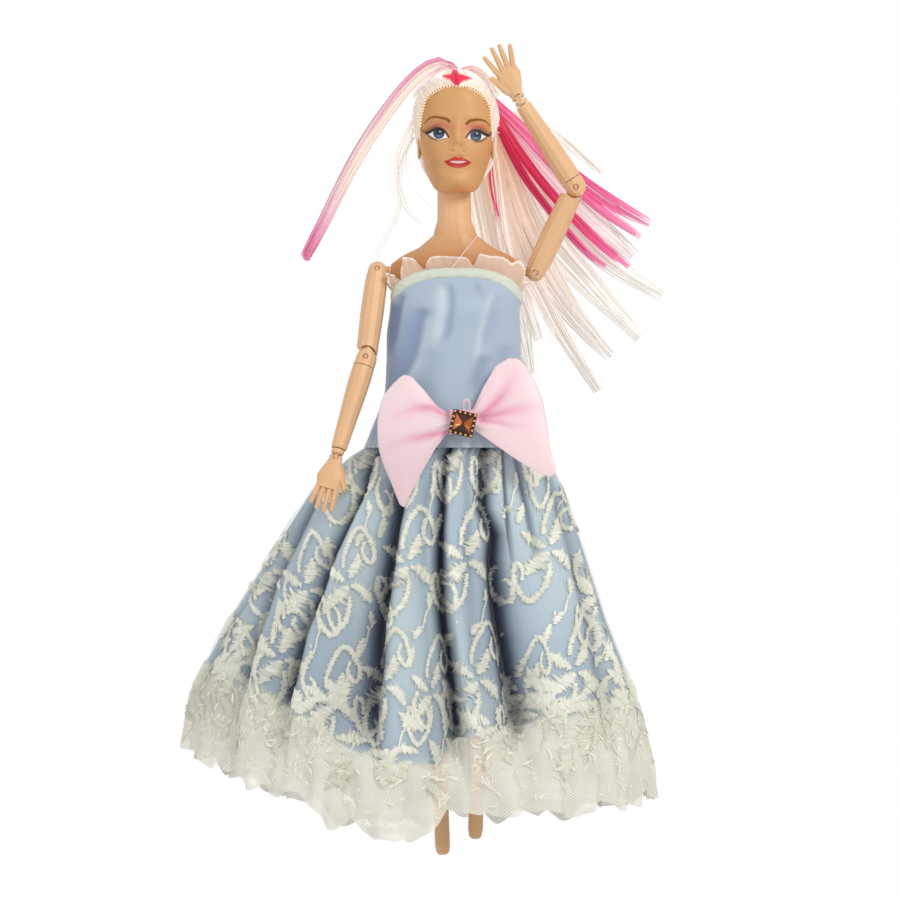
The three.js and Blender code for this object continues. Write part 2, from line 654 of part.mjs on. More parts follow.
function thigh() {
  const ball = HIP_BALL;
  const limb = loftRows([
    [-THIGH - 2, KNEE_RADIUS - 0.1, KNEE_RADIUS],
    [-THIGH + 8, KNEE_RADIUS, KNEE_RADIUS + 0.1],
    [-THIGH * 0.6, 7, 7.2],
    [-THIGH * 0.3, 8.1, 8.5],
    [-THIGH * 0.14, ball + 0.3, ball + 0.5],
    [-ball * 0.5, ball, ball],
    [0, ball, ball],
    [ball * 0.5, ball * 0.866, ball * 0.866],
    [ball * 0.87, ball * 0.5, ball * 0.5],
    [ball, ball * 0.05, ball * 0.05],
  ], 14);
  const seat = rod(KNEE_RADIUS + RUN_GAP + 0.1, 4 * KNEE_RADIUS, 'x', 20).translate(0, 0, -THIGH);
  const slope = new THREE.BoxGeometry(BIG, BIG, BIG).translate(0, 0, -BIG / 2)
    .rotateX(radians(24)).translate(0, 0, -THIGH + 3.6);
  const kneeBar = tongue({
    from: 90, halfHeight: KNEE_RADIUS * 0.6, reach: KNEE_RADIUS + 4, width: KNEE_TONGUE,
  }).rotateZ(Math.PI / 2).translate(0, 0, -THIGH);
  const slot = tongue({
    from: 180 - SPREAD_RANGE[1] - 2,
    to: 180 - SPREAD_RANGE[0] + 4,
    halfHeight: HIP_SLEEVE + RUN_GAP,
    reach: ball * 1.4,
    width: 2 * (HIP_SLEEVE + RUN_GAP),
  });
  const hipHole = rod(LEG_PIN + SEAT_GAP, 4 * ball, 'y', 10);
  const kneeHole = rod(LEG_PIN + SEAT_GAP, 4 * ball, 'x', 10).translate(0, 0, -THIGH);
  return cut(join(cut(limb, seat, slope), kneeBar), slot, hipHole, kneeHole);
}

function lowerLeg() {
  const r = KNEE_RADIUS;
  const chord = (z) => Math.sqrt(r * r - z * z);
  const foot = 2.9;
  const limb = loftRows([
    [-SHIN, foot * 0.5, 0.6, 0.6, 0, -6.6],
    [-SHIN + 0.8, foot * 0.83, 1.8, 1.5, 0, -6.2],
    [-SHIN + 3, foot, 2.6, 2.4, 0, -4.8],
    [-SHIN + 8, foot, 3, 3.2, 0, -2.4],
    [-SHIN + 14, foot, 3.1, 3.9, 0, -0.2],
    [-SHIN * 0.6, 3.7, 3.7, 4.4, 0, 0.4],
    [-SHIN * 0.4, 4.9, 4.7, 6, 0, 0.2],
    [-SHIN * 0.24, 5.5, 5.2, 6.7, 0, 0],
    [-SHIN * 0.1, 5.5, 5.5, 6, 0, 0],
    [0, r - 0.1, r, r],
    ...[0.42, 0.74, 0.93].map((share) => [
      share * r, r - 0.1 - share * 0.5, chord(share * r), chord(share * r), 0, 0,
    ]),
    [r, r - 1, 0.3, 0.3, 0, 0],
  ], 12);
  const slot = tongue({
    from: 90 - KNEE_RANGE[0],
    to: 90 + KNEE_RANGE[1],
    halfHeight: r * 0.6 + RUN_GAP,
    reach: r * 2,
    width: KNEE_TONGUE + 2 * SEAT_GAP,
  }).rotateZ(-Math.PI / 2);
  return cut(limb, slot, rod(LEG_PIN + SEAT_GAP, 4 * r, 'x', 10));
}

function addLeg(doll, side, name, pose) {
  const part = (label, geometry, material = MATERIAL.skin) => (
    piece(`${label}_${name}`, onSide(side, geometry), material)
  );
  const hip = nest(doll, [side * HIP_X, 0, HIP_Z], [-pose.hip, 0, 0],
    part('hip_joint', hipJoint(), MATERIAL.steel));
  const upper = nest(hip, [0, 0, 0], [0, -side * pose.spread, 0],
    part('thigh', thigh()),
    part('hip_pin', toSolidCopy(pin(LEG_PIN, 2 * HIP_BALL - 1, 'y')), MATERIAL.steel));
  nest(upper, [0, 0, -THIGH], [pose.knee, 0, 0],
    part('lower_leg', lowerLeg()),
    part('knee_pin', toSolidCopy(pin(LEG_PIN, 2 * KNEE_RADIUS - 1.2, 'x')), MATERIAL.steel));
}

// Gown

const GOWN_SIDES = SKIRT_FOLDS * SKIRT_STEPS_PER_FOLD;

// Height of the neckline's top edge: highest in front, lower under the arms
function necklineAt(angle) {
  const sideways = Math.abs(Math.cos(angle)) ** 2.4;
  const rear = Math.max(0, Math.sin(angle));
  return NECKLINE_Z - NECKLINE_DROP * sideways - 5 * rear;
}

const SEAM_HALF_WIDTH = 34.5;
const BODICE_ROWS = [
  [SEAM_Z, SEAM_HALF_WIDTH, 22, 21, -0.6, 0],
  [SEAM_Z + 5, SEAM_HALF_WIDTH - 2, 22.2, 20.5, -0.8, 0],
  [SEAM_Z + 11, SEAM_HALF_WIDTH - 4.6, 22, 19, -1, 0],
  [SEAM_Z + 21, SEAM_HALF_WIDTH - 7.6, 21, 16, -1, 0],
  [SEAM_Z + 33, SEAM_HALF_WIDTH - 8.6, BUST_DEPTH + 3, 13.6, -1, 0],
  [BUST_Z - 10, CHEST_HALF_WIDTH + 2.8, BUST_DEPTH + 2.6, 12.4, -1, 0],
  [BUST_Z, CHEST_HALF_WIDTH + 2, BUST_DEPTH + 2.3, 11, -0.6, 0],
  [BUST_Z + 8, CHEST_HALF_WIDTH + 2.7, BUST_DEPTH - 2.6, 10.4, 0, 0],
  [SHOULDER_Z, TORSO_SIDE + 1.3, 11.2, 10.2, 0, 0],
];

function bodice() {
  const levels = [0, 0.2, 0.45, 0.7, 0.86, 1];
  const sides = 28;
  const wall = (thickness) => levels.map((share) => {
    const ring = [];
    for (let i = 0; i < sides; i += 1) {
      const angle = (2 * Math.PI * i) / sides;
      const top = necklineAt(angle) - BAND_HEIGHT - SEAT_GAP;
      const z = SEAM_Z + (top - SEAM_Z) * share;
      ring.push(sectionPoint(grow(rowAt(BODICE_ROWS, z), -thickness), angle, TORSO_POWER));
    }
    return ring;
  });
  return sleeve(wall(0), wall(CLOTH));
}

// Ring that follows the chest: heights above the neckline's top edge, inner offset, thickness
function chestRing(sides, rows, bottom, top, offset, thickness) {
  const wall = (by) => {
    const rings = [];
    for (let k = 0; k <= rows; k += 1) {
      const ring = [];
      for (let i = 0; i < sides; i += 1) {
        const angle = (2 * Math.PI * i) / sides;
        const z = necklineAt(angle) + bottom + ((top(angle) - bottom) * k) / rows;
        ring.push(sectionPoint(grow(rowAt(TORSO_ROWS, z), offset(angle, k / rows) + by), angle, TORSO_POWER));
      }
      rings.push(ring);
    }
    return rings;
  };
  return sleeve(wall(thickness), wall(0));
}

function necklineBand() {
  return chestRing(36, 1, -BAND_HEIGHT, () => 0, () => SEAT_GAP + 0.1, BAND_THICKNESS);
}

function ruffle() {
  const waves = 12;
  const sides = waves * 5;
  const room = (angle) => 1 - 0.9 * Math.abs(Math.cos(angle)) ** 6;
  const height = (angle) => 1.6 + 2.9 * room(angle) + 0.7 * Math.sin(waves * angle * 0.5);
  const offset = (angle, share) => (
    SEAT_GAP + 0.2 + share * room(angle) * (1.3 + 1.1 * Math.sin(waves * angle))
  );
  return chestRing(sides, 1, SEAT_GAP, height, offset, 0.5);
}

function closureStrip() {
  const rows = 6;
  const halfWidth = 3;
  const bottom = SEAM_Z + 3;
  const top = BUST_Z - 3;
  const rings = [];
  for (let k = 0; k <= rows; k += 1) {
    const z = bottom + ((top - bottom) * k) / rows;
    const [, , , back] = rowAt(BODICE_ROWS, z);
    const inside = back + SEAT_GAP;
    rings.push([
      new THREE.Vector3(halfWidth, inside, z),
      new THREE.Vector3(halfWidth, inside + CLOTH, z),
      new THREE.Vector3(-halfWidth, inside + CLOTH, z),
      new THREE.Vector3(-halfWidth, inside, z),
    ]);
  }
  return loft(rings);
}

// Skirt: height, then how far the cloth reaches left, right, forwards and backwards of the waist's middle
const SKIRT_REACH = [
  [SEAM_Z - 150, 108, 80, 60, 60],
  [SEAM_Z - 118, 106, 76, 56, 55],
  [SEAM_Z - 95, 103, 70, 51, 50],
  [SEAM_Z - 68, 89, 59, 44, 43],
  [SEAM_Z - 38, 70, 49, 35, 34],
  [SEAM_Z - 16, 56, 41.5, 28.5, 27.5],
  [SEAM_Z - 5, 42.5, 36, 24.5, 23.5],
  [SEAM_Z - SEAT_GAP, SEAM_HALF_WIDTH + 0.6, SEAM_HALF_WIDTH - 0.6, 22, 21],
];
const HEM_FRONT_Z = -161;
const HEM_BACK_Z = -183;
const HEM_LEFT_RISE = 22;
const HEM_RIGHT_RISE = 8;

function laceHemAt(angle) {
  const rear = (1 + Math.sin(angle)) / 2;
  const c = Math.cos(angle);
  const rise = (c < 0 ? HEM_LEFT_RISE : HEM_RIGHT_RISE) * Math.abs(c) ** 3;
  const scallop = 1.2 * Math.cos(angle * SKIRT_FOLDS);
  return HEM_FRONT_Z + (HEM_BACK_Z - HEM_FRONT_Z) * rear + rise + scallop;
}

function skirtPoint(angle, z, inset) {
  const [, left, right, front, back] = rowAt(SKIRT_REACH, Math.max(z, SKIRT_REACH[0][0]));
  const drop = (SEAM_Z - z) / (SEAM_Z - HEM_FRONT_Z);
  const fold = FOLD_DEPTH * drop ** 0.7 * (Math.cos(SKIRT_FOLDS * (angle - radians(2.5))) - 1) * 0.5;
  const out = fold - inset;
  const row = [z, (left + right) / 2 + out, front + out, back + out, (right - left) / 2, 0];
  return sectionPoint(row, angle);
}

// Both layers have their rows at these heights, and the overskirt has its hem below the last
const SKIRT_LEVELS = [SATIN_HEM_Z, SEAM_Z - 66, SEAM_Z - 30, SEAM_Z - 10, SEAM_Z - SEAT_GAP];

function skirt(heights, inset) {
  const wall = (depth) => heights.map((heightAt) => {
    const ring = [];
    for (let i = 0; i < GOWN_SIDES; i += 1) {
      const angle = (2 * Math.PI * i) / GOWN_SIDES;
      ring.push(skirtPoint(angle, heightAt(angle), depth));
    }
    return ring;
  });
  return sleeve(wall(inset), wall(inset + CLOTH));
}

// Bow: sections of a wing from the knot outwards, [distance from the middle, bottom, top, thickness share]
const BOW_MIDDLE_X = 1.2;
const LEFT_WING = [
  [5, -26.5, -19.5, 0.7],
  [9, -32, -16.5, 0.9],
  [13.5, -40, -10.5, 1],
  [18, -48, -5, 1],
  [22.5, -53.5, -6.5, 1],
  [27.5, -44, -10.5, 0.8],
  [30.5, -33, -17, 0.3],
];
const RIGHT_WING = [
  [5, -25, -18, 0.7],
  [8.5, -27.5, -10, 0.9],
  [13.5, -30.5, -1.5, 1],
  [18.5, -34, 1.5, 1],
  [24, -37.5, 0, 1],
  [29, -40.5, -10, 0.8],
  [33, -41, -30, 0.3],
];

function bowPlane(z) {
  const [, , front] = BODICE_ROWS[2];
  return -(front + SEAT_GAP + BOW_THICKNESS + 1.6) + 0.19 * (z - BODICE_ROWS[2][0]);
}

function bowWing(side, sections) {
  const sides = 12;
  const rings = sections.map(([out, bottom, top, share]) => {
    const ring = [];
    for (let i = 0; i < sides; i += 1) {
      const angle = (2 * Math.PI * i) / sides;
      const z = (top + bottom) / 2 + ((top - bottom) / 2) * Math.cos(angle);
      const y = bowPlane(z) + (BOW_THICKNESS / 2) * share * Math.sin(angle);
      ring.push(new THREE.Vector3(BOW_MIDDLE_X + side * out, y, z));
    }
    return side > 0 ? ring.reverse() : ring;
  });
  return loft(rings);
}

const KNOT_Z = -22.4;

function bowKnot() {
  const back = -(rowAt(BODICE_ROWS, KNOT_Z)[2] + SEAT_GAP);
  const depth = BOW_THICKNESS + 4.6;
  return loftRows([
    [KNOT_Z - 4.6, 3.2, depth / 2 - 1, depth / 2 - 1],
    [KNOT_Z - 3, 4.2, depth / 2, depth / 2],
    [KNOT_Z + 3, 4.2, depth / 2, depth / 2],
    [KNOT_Z + 4.6, 3.2, depth / 2 - 1, depth / 2 - 1],
  ], 14, 3).translate(BOW_MIDDLE_X, back - depth / 2, 0);
}

function brooch() {
  const back = -(rowAt(BODICE_ROWS, KNOT_Z)[2] + SEAT_GAP + BOW_THICKNESS + 4.6 + SEAT_GAP);
  const tray = new THREE.BoxGeometry(SETTING_SIDE, 2.2, SETTING_SIDE).translate(0, -1.1, 0);
  const pocket = new THREE.BoxGeometry(STONE_SIDE + 2 * SEAT_GAP, 2, STONE_SIDE + 2 * SEAT_GAP).translate(0, -2.2, 0);
  const half = STONE_SIDE / 2;
  const table = half * 0.45;
  const square = (size, y) => [[size, size], [-size, size], [-size, -size], [size, -size]]
    .map(([x, z]) => new THREE.Vector3(x, y, z));
  const stone = loft([
    square(half, -1.2 - SEAT_GAP),
    square(half, -2.3),
    square(table, -3.9),
  ]);
  return { setting: cut(tray, pocket), stone, back };
}

// Hair, as plain solid locks: [x, y, z] points from root to tip

const CAP_EDGE_Z = 92;

function hairCap() {
  const outer = loftRows(headRows(HAIR_CAP + SEAT_GAP).slice(4), 18);
  const inner = loftRows([
    ...headRows(SEAT_GAP).slice(3, -1),
    [CHIN_Z + HEAD_HEIGHT + SEAT_GAP, 1, 1.2, 1.4],
  ], 18);
  const faceOpening = new THREE.BoxGeometry(BIG, BIG, BIG).translate(0, -BIG / 2, 0)
    .rotateX(radians(38)).translate(0, 3, CAP_EDGE_Z);
  const below = new THREE.BoxGeometry(BIG, BIG, BIG).translate(0, 0, -BIG / 2 + CHIN_Z + 13);
  return cut(outer, inner, faceOpening, below);
}

// A root beside the head: x from its widest half width, and a share of its height
function crownShare(besideHead, y, share) {
  return [HEAD_HALF_WIDTH + besideHead, y, CHIN_Z + share * HEAD_HEIGHT];
}

const CROWN_Z = CHIN_Z + HEAD_HEIGHT;
const LEFT_LOCK = {
  root: [0.5, 5, CROWN_Z + 2.1],
  steps: [
    [-7.5, 1, 4.1], [-16.5, 0, 1.3], [-24.5, -2, -8.7], [-32, -4, -20.7], [-40.5, -6, -33.7],
    [-47.5, -7, -46.7], [-51.5, -7, -58.7], [-55.5, -7, -66.7], [-59.5, -7, -74.2],
  ],
  widths: [5, 6, 6, 5.5, 5, 3.5],
};
const PINK_LOCKS = [
  {
    root: crownShare(-0.4, 9, 0.7587),
    steps: [[11.8, 1, -4.5], [29.8, 1, -19.5], [45.8, 0, -35.5], [58.8, -1, -47.5]],
    widths: [4, 7, 8.5, 8, 6.5],
  },
  {
    root: crownShare(-0.4, 9, 0.7261),
    steps: [[9.8, 1, -12], [21.8, 1.5, -30], [35.8, 1, -47], [49.8, 0, -60]],
    widths: [4, 7, 8, 8, 5],
  },
];
const BLONDE_LOCKS = [
  {
    root: crownShare(-3.2, 13.6, 0.7261),
    steps: [[12.6, 1.4, -15], [26.6, 1.9, -38], [44.6, 1.4, -58], [65.6, 0.4, -72]],
    widths: [4, 9, 10, 9, 4],
  },
  {
    root: crownShare(-3, 14, 0.6609),
    steps: [[10.4, 1.5, -19], [21.4, 2, -45], [35.4, 2, -67], [50.4, 1, -91]],
    widths: [4, 10, 13, 13, 7],
  },
  {
    root: crownShare(-2.8, 14.4, 0.5957),
    steps: [[7.2, 1.6, -20], [14.2, 2.6, -46], [26.2, 2.6, -72], [40.2, 1.6, -106]],
    widths: [4, 10, 12, 10, 5],
  },
];
const BACK_LOCK = {
  root: crownShare(-7.1, 17.8, 0.5522),
  steps: [[1.5, 1.8, -22], [5.5, 1.2, -48], [12.5, 0.7, -72], [21.5, 1.2, -96]],
  widths: [8, 13, 15, 13, 6],
};

function lockPoints({ root, steps }) {
  return [root, ...steps.map((step) => root.map((value, i) => value + step[i]))];
}

function fall(locks) {
  const [first, ...others] = locks.map((row) => lock(lockPoints(row), row.widths, LOCK_THICKNESS));
  return join(first, ...others);
}

// Assembly

const doll = new THREE.Group();
const [torsoFront, torsoBack] = torsoShells();
doll.add(piece('torso_front', torsoFront, MATERIAL.skin));
doll.add(piece('torso_back', torsoBack, MATERIAL.skin));
doll.add(piece('hip_axle', toSolidCopy(pin(HIP_AXLE, 2 * (HIP_X - HIP_BALL + 3.2), 'x').translate(0, 0, HIP_Z)),
  MATERIAL.steel));

nest(doll, [HEAD_LEAN, 0, 0], [0, 0, 0],
  piece('neck_knob', neckKnob(), MATERIAL.skin),
  piece('head', head(), MATERIAL.face),
  piece('hair_cap', hairCap(), MATERIAL.blonde));

addArm(doll, 1, 'left', POSE.left, SPREAD_FINGERS, 0.3, 9);
addArm(doll, -1, 'right', POSE.right, CLOSED_FINGERS, 1.4, 0);
addLeg(doll, 1, 'left', POSE.left);
addLeg(doll, -1, 'right', POSE.right);

doll.add(piece('bodice', bodice(), MATERIAL.satin));
doll.add(piece('neckline_band', necklineBand(), MATERIAL.band));
doll.add(piece('neckline_ruffle', ruffle(), MATERIAL.organza));
doll.add(piece('closure_strip', closureStrip(), MATERIAL.band));
const skirtHeights = SKIRT_LEVELS.map((z) => () => z);
doll.add(piece('satin_skirt', skirt(skirtHeights, CLOTH + SKIRT_GAP), MATERIAL.satin));
doll.add(piece('lace_overskirt', skirt([laceHemAt, ...skirtHeights], 0), MATERIAL.lace));
doll.add(piece('bow_wing_right', bowWing(-1, LEFT_WING), MATERIAL.bow));
doll.add(piece('bow_wing_left', bowWing(1, RIGHT_WING), MATERIAL.bow));
doll.add(piece('bow_knot', bowKnot(), MATERIAL.bow));
const { setting, stone, back: broochBack } = brooch();
nest(doll, [BOW_MIDDLE_X, broochBack, KNOT_Z], [0, -BROOCH_TILT, 0],
  piece('brooch_setting', setting, MATERIAL.gold),
  piece('brooch_stone', stone, MATERIAL.amber));

doll.add(piece('hair_lock_right', lock(lockPoints(LEFT_LOCK), LEFT_LOCK.widths, LOCK_THICKNESS, 8, 14), MATERIAL.blonde));
doll.add(piece('hair_fall_pink', fall(PINK_LOCKS), MATERIAL.pink));
doll.add(piece('hair_fall_blonde', fall(BLONDE_LOCKS), MATERIAL.blonde));
doll.add(piece('hair_fall_back', lock(lockPoints(BACK_LOCK), BACK_LOCK.widths, LOCK_THICKNESS), MATERIAL.blonde));

export default doll;
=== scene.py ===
"""Fashion doll in a strapless blue satin gown with a lace overskirt, a pink bow and long pink and blonde hair.

Lengths in the tables are millimetres in the doll's own frame: +X to the viewer's right, -Y towards the viewer, +Z up.
Places of the picture, used for folds, creases, face and hair, are in the frame of the camera below, which is 900
units on a side.
"""
import math

import bpy
import numpy as np
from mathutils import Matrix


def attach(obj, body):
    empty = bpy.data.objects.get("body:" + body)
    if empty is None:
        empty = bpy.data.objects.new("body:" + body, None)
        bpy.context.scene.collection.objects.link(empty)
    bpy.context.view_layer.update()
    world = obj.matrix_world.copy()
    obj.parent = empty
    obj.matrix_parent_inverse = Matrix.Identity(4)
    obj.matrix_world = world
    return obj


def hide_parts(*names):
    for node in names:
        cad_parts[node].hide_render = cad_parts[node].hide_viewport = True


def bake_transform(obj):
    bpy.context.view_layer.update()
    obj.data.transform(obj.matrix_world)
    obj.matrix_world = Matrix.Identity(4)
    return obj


MM = 0.001
TAU = 2 * math.pi

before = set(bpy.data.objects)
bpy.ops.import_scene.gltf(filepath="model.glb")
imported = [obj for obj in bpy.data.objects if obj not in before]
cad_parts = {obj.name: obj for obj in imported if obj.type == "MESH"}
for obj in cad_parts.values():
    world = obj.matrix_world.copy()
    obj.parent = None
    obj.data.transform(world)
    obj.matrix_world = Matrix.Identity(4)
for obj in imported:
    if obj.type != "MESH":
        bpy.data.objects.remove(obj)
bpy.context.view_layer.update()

# The camera stands straight in front of the doll
CAMERA_X, CAMERA_Y, CAMERA_Z = -2.5, -900.0, -32.8
SENSOR = 36.0
PICTURE = 900.0
MM_PER_UNIT = 0.386
LENS = SENSOR * -CAMERA_Y / (PICTURE * MM_PER_UNIT)


def project(points):
    """Picture places, in units from the left and top edges, of points in mm."""
    scale = -CAMERA_Y / MM_PER_UNIT / (points[:, 1] - CAMERA_Y)
    across = PICTURE / 2 + (points[:, 0] - CAMERA_X) * scale
    down = PICTURE / 2 - (points[:, 2] - CAMERA_Z) * scale
    return np.stack([across, down], 1)


def place(across, down, y):
    """The point in mm at depth y that shows at a place of the picture."""
    scale = (y - CAMERA_Y) * MM_PER_UNIT / -CAMERA_Y
    return (CAMERA_X + (across - PICTURE / 2) * scale, y, CAMERA_Z - (down - PICTURE / 2) * scale)


# Colours


def tint(code):
    """Linear colour of a hex code."""
    parts = [int(code[i : i + 2], 16) / 255 for i in (1, 3, 5)]
    return np.array([p / 12.92 if p <= 0.04045 else ((p + 0.055) / 1.055) ** 2.4 for p in parts])


SKIN = "#E4B98E"
TORSO_SKIN = "#E5B68A"
FACE_SKIN = "#D3A06B"
SATIN = "#A9BCD9"
# Painted shade of the satin in its fold valleys
SATIN_VALLEY_SHADE = "#2B3F5C"
LACE = "#E9EADD"
# Painted shade at the edges of the embroidered ribbons
LACE_EDGE_SHADE = "#B5AE8A"
BAND = "#DCE2D2"
ORGANZA = "#F6DCCB"
BOW = "#F5C3D5"
GOLD = "#B98A3C"
AMBER = "#8A3F0C"
BLONDE = "#F3E6DD"


# Numbers over arrays


def smooth(x, low, high):
    t = np.clip((x - low) / (high - low), 0, 1)
    return t * t * (3 - 2 * t)


def bell(x, centre, width):
    return np.exp(-(((x - centre) / width) ** 2))


def unit(vectors):
    return vectors / (np.linalg.norm(vectors, axis=1)[:, None] + 1e-9)


def mix(a, b, share):
    """Colours between a and b, one for each share."""
    return a + (b - a) * share[:, None]


def row_at(rows, level):
    """Values of a table's rows at each level; the first column is the level, rising."""
    table = np.array([list(r) + [0.0] * (5 - len(r)) for r in rows], float)
    level = np.asarray(level, float)
    return [np.interp(level, table[:, 0], table[:, i]) for i in range(1, table.shape[1])]


# How square the sections of bodice and torso are; 2 is an ellipse
CLOTH_POWER = 2.3


def section_point(rows, turn, level, grow=0.0):
    """Points on a body of sections: turn 0 is the doll's left side (viewer's right), and turn -90 the front."""
    half, front, back, shift = row_at(rows, level)
    c, s = np.cos(turn), np.sin(turn)
    deep = np.where(s < 0, front, back)
    x = shift + (half + grow) * np.sign(c) * np.abs(c) ** (2 / CLOTH_POWER)
    y = (deep + grow) * np.sign(s) * np.abs(s) ** (2 / CLOTH_POWER)
    return np.stack([x, y, np.broadcast_to(level, x.shape)], -1)


def polyline_distance(points, line, widths=None):
    """Distance of each point from a line of points, less the half width there."""
    line = np.asarray(line, float)
    widths = np.zeros(len(line)) if widths is None else np.asarray(widths, float)
    best = np.full(len(points), 1e9)
    for a, b, wa, wb in zip(line[:-1], line[1:], widths[:-1], widths[1:]):
        along = b - a
        t = np.clip(((points - a) @ along) / max(along @ along, 1e-9), 0, 1)
        gap = np.linalg.norm(points - a - t[:, None] * along, axis=1) - (wa + (wb - wa) * t) / 2
        best = np.minimum(best, gap)
    return best


def inside_distance(points, outline):
    """Distance from a closed outline, negative inside it."""
    outline = np.asarray(outline, float)
    closed = np.vstack([outline, outline[:1]])
    gap = polyline_distance(points, closed)
    inside = np.zeros(len(points), bool)
    for a, b in zip(closed[:-1], closed[1:]):
        crosses = (a[1] > points[:, 1]) != (b[1] > points[:, 1])
        height = b[1] - a[1] if abs(b[1] - a[1]) > 1e-9 else 1e-9
        at = a[0] + (points[:, 1] - a[1]) * (b[0] - a[0]) / height
        inside ^= crosses & (points[:, 0] < at)
    return np.where(inside, -gap, gap)


def spline(points, count):
    """Evenly spaced points on a smooth curve through the given ones."""
    p = np.asarray(points, float)
    ends = np.vstack([2 * p[0] - p[1], p, 2 * p[-1] - p[-2]])
    out = []
    for i in range(len(p) - 1):
        a, b, c, d = ends[i : i + 4]
        for t in np.linspace(0, 1, 16, endpoint=False):
            bend = (2 * a - 5 * b + 4 * c - d) * t**2 + (3 * b - a - 3 * c + d) * t**3
            out.append(0.5 * (2 * b + (c - a) * t + bend))
    out.append(p[-1])
    out = np.array(out)
    gone = np.concatenate([[0], np.cumsum(np.linalg.norm(np.diff(out, axis=0), axis=1))])
    want = np.linspace(0, gone[-1], count)
    return np.stack([np.interp(want, gone, out[:, i]) for i in range(out.shape[1])], 1)


# Meshes


def mesh_object(name, points, faces, material, smooth_shade=True):
    """A mesh of points in mm; its faces are an array, or a list where they differ in corners."""
    mesh = bpy.data.meshes.new(name)
    faces = faces if isinstance(faces, list) else faces.tolist()
    mesh.from_pydata((np.asarray(points, float) * MM).tolist(), [], faces)
    mesh.validate()
    made = bpy.data.objects.new(name, mesh)
    bpy.context.scene.collection.objects.link(made)
    made.data.materials.append(material)
    mesh.polygons.foreach_set("use_smooth", [smooth_shade] * len(mesh.polygons))
    return made


def grid_faces(rows, columns, closed, start=0, flip=False):
    """Four-cornered faces of a grid of points, row by row."""
    r = np.arange(rows - 1)[:, None]
    c = np.arange(columns if closed else columns - 1)[None, :]
    n = (c + 1) % columns
    quads = np.stack([r * columns + c, r * columns + n, (r + 1) * columns + n, (r + 1) * columns + c], -1)
    quads = quads.reshape(-1, 4) + start
    return quads[:, ::-1] if flip else quads


def paint(made, colours):
    """A colour at each point of a mesh, or one for all of them."""
    layer = made.data.color_attributes.new("paint", "FLOAT_COLOR", "POINT")
    rgba = np.ones((len(made.data.vertices), 4), np.float32)
    rgba[:, :3] = colours
    layer.data.foreach_set("color", rgba.ravel())


def lay_cloth(made, along, down, cover):
    """At each point its place on the cloth in mm, and the share of light that the cloth stops."""
    layer = made.data.attributes.new("cloth", "FLOAT_VECTOR", "POINT")
    values = np.zeros((len(made.data.vertices), 3), np.float32)
    for axis, value in enumerate((along, down, cover)):
        values[:, axis] = value
    layer.data.foreach_set("vector", values.ravel())


def tube(line, radii, sides):
    """Points and faces of a tube along a line; both ends are closed by their small size."""
    line = np.asarray(line, float)
    ahead = unit(np.gradient(line, axis=0))
    side = np.cross(ahead, [0.0, -1.0, 0.0])
    weak = np.linalg.norm(side, axis=1) < 0.05
    side[weak] = np.cross(ahead[weak], [1.0, 0.0, 0.0])
    side = unit(side)
    top = np.cross(side, ahead)
    angles = np.arange(sides) * TAU / sides
    ring = side[:, None, :] * np.cos(angles)[None, :, None] + top[:, None, :] * np.sin(angles)[None, :, None]
    points = line[:, None, :] + ring * np.asarray(radii)[:, None, None]
    return points.reshape(-1, 3), grid_faces(len(line), sides, True)


# Materials


class Finish:
    """One procedural material, built node by node."""

    def __init__(self, name, colour, rough, **inputs):
        self.material = bpy.data.materials.new(name)
        self.material.use_nodes = True
        self.nodes = self.material.node_tree.nodes
        self.links = self.material.node_tree.links
        self.shader = self.nodes["Principled BSDF"]
        self.shader.inputs["Base Color"].default_value = (*tint(colour), 1)
        self.shader.inputs["Roughness"].default_value = rough
        for key, value in inputs.items():
            self.shader.inputs[key.replace("_", " ")].default_value = value

    def node(self, kind, **values):
        made = self.nodes.new(kind)
        for key, value in values.items():
            if key in made.inputs:
                made.inputs[key].default_value = value
            else:
                setattr(made, key, value)
        return made

    def join(self, source, target):
        self.links.new(source, target)

    def math(self, operation, *values):
        """The result of a Math node over sockets and numbers."""
        made = self.node("ShaderNodeMath", operation=operation)
        for value, target in zip(values, made.inputs):
            if isinstance(value, float):
                target.default_value = value
            else:
                self.join(value, target)
        return made.outputs[0]

    def split(self, source):
        """The X, Y and Z of a vector."""
        made = self.node("ShaderNodeSeparateXYZ")
        self.join(source, made.inputs[0])
        return made.outputs

    def attribute(self, name):
        return self.node("ShaderNodeAttribute", attribute_name=name).outputs

    def cloth(self):
        """The place on the cloth, along and down it, and the cover there."""
        return self.split(self.attribute("cloth")["Vector"])

    def painted(self):
        self.join(self.attribute("paint")["Color"], self.shader.inputs["Base Color"])
        return self

    def glow(self, strength):
        """Painted glow: a share of the painted colour given out, for light that passes through thin fibres."""
        self.join(self.attribute("paint")["Color"], self.shader.inputs["Emission Color"])
        self.shader.inputs["Emission Strength"].default_value = strength
        return self

    def bump(self, height, distance, strength):
        made = self.node("ShaderNodeBump", Strength=strength, Distance=distance * MM)
        self.join(height, made.inputs["Height"])
        self.join(made.outputs["Normal"], self.shader.inputs["Normal"])
        return self

    def noise(self, scale, stretch=(1, 1, 1)):
        """Noise over the object, with a feature size of about 1/scale metres."""
        spot = self.node("ShaderNodeTexCoord")
        sized = self.node("ShaderNodeMapping", Scale=stretch)
        self.join(spot.outputs["Object"], sized.inputs["Vector"])
        made = self.node("ShaderNodeTexNoise", Scale=scale, Detail=2.0)
        self.join(sized.outputs["Vector"], made.inputs["Vector"])
        return made.outputs["Fac"]

    def vary(self, dark, light, factor, low=0.3, high=0.7):
        """Base colour between two tints by a factor."""
        ramp = self.node("ShaderNodeValToRGB")
        for stop, position, code in zip(ramp.color_ramp.elements, (low, high), (dark, light)):
            stop.position = position
            stop.color = (*tint(code), 1)
        self.join(factor, ramp.inputs["Fac"])
        self.join(ramp.outputs["Color"], self.shader.inputs["Base Color"])
        return self


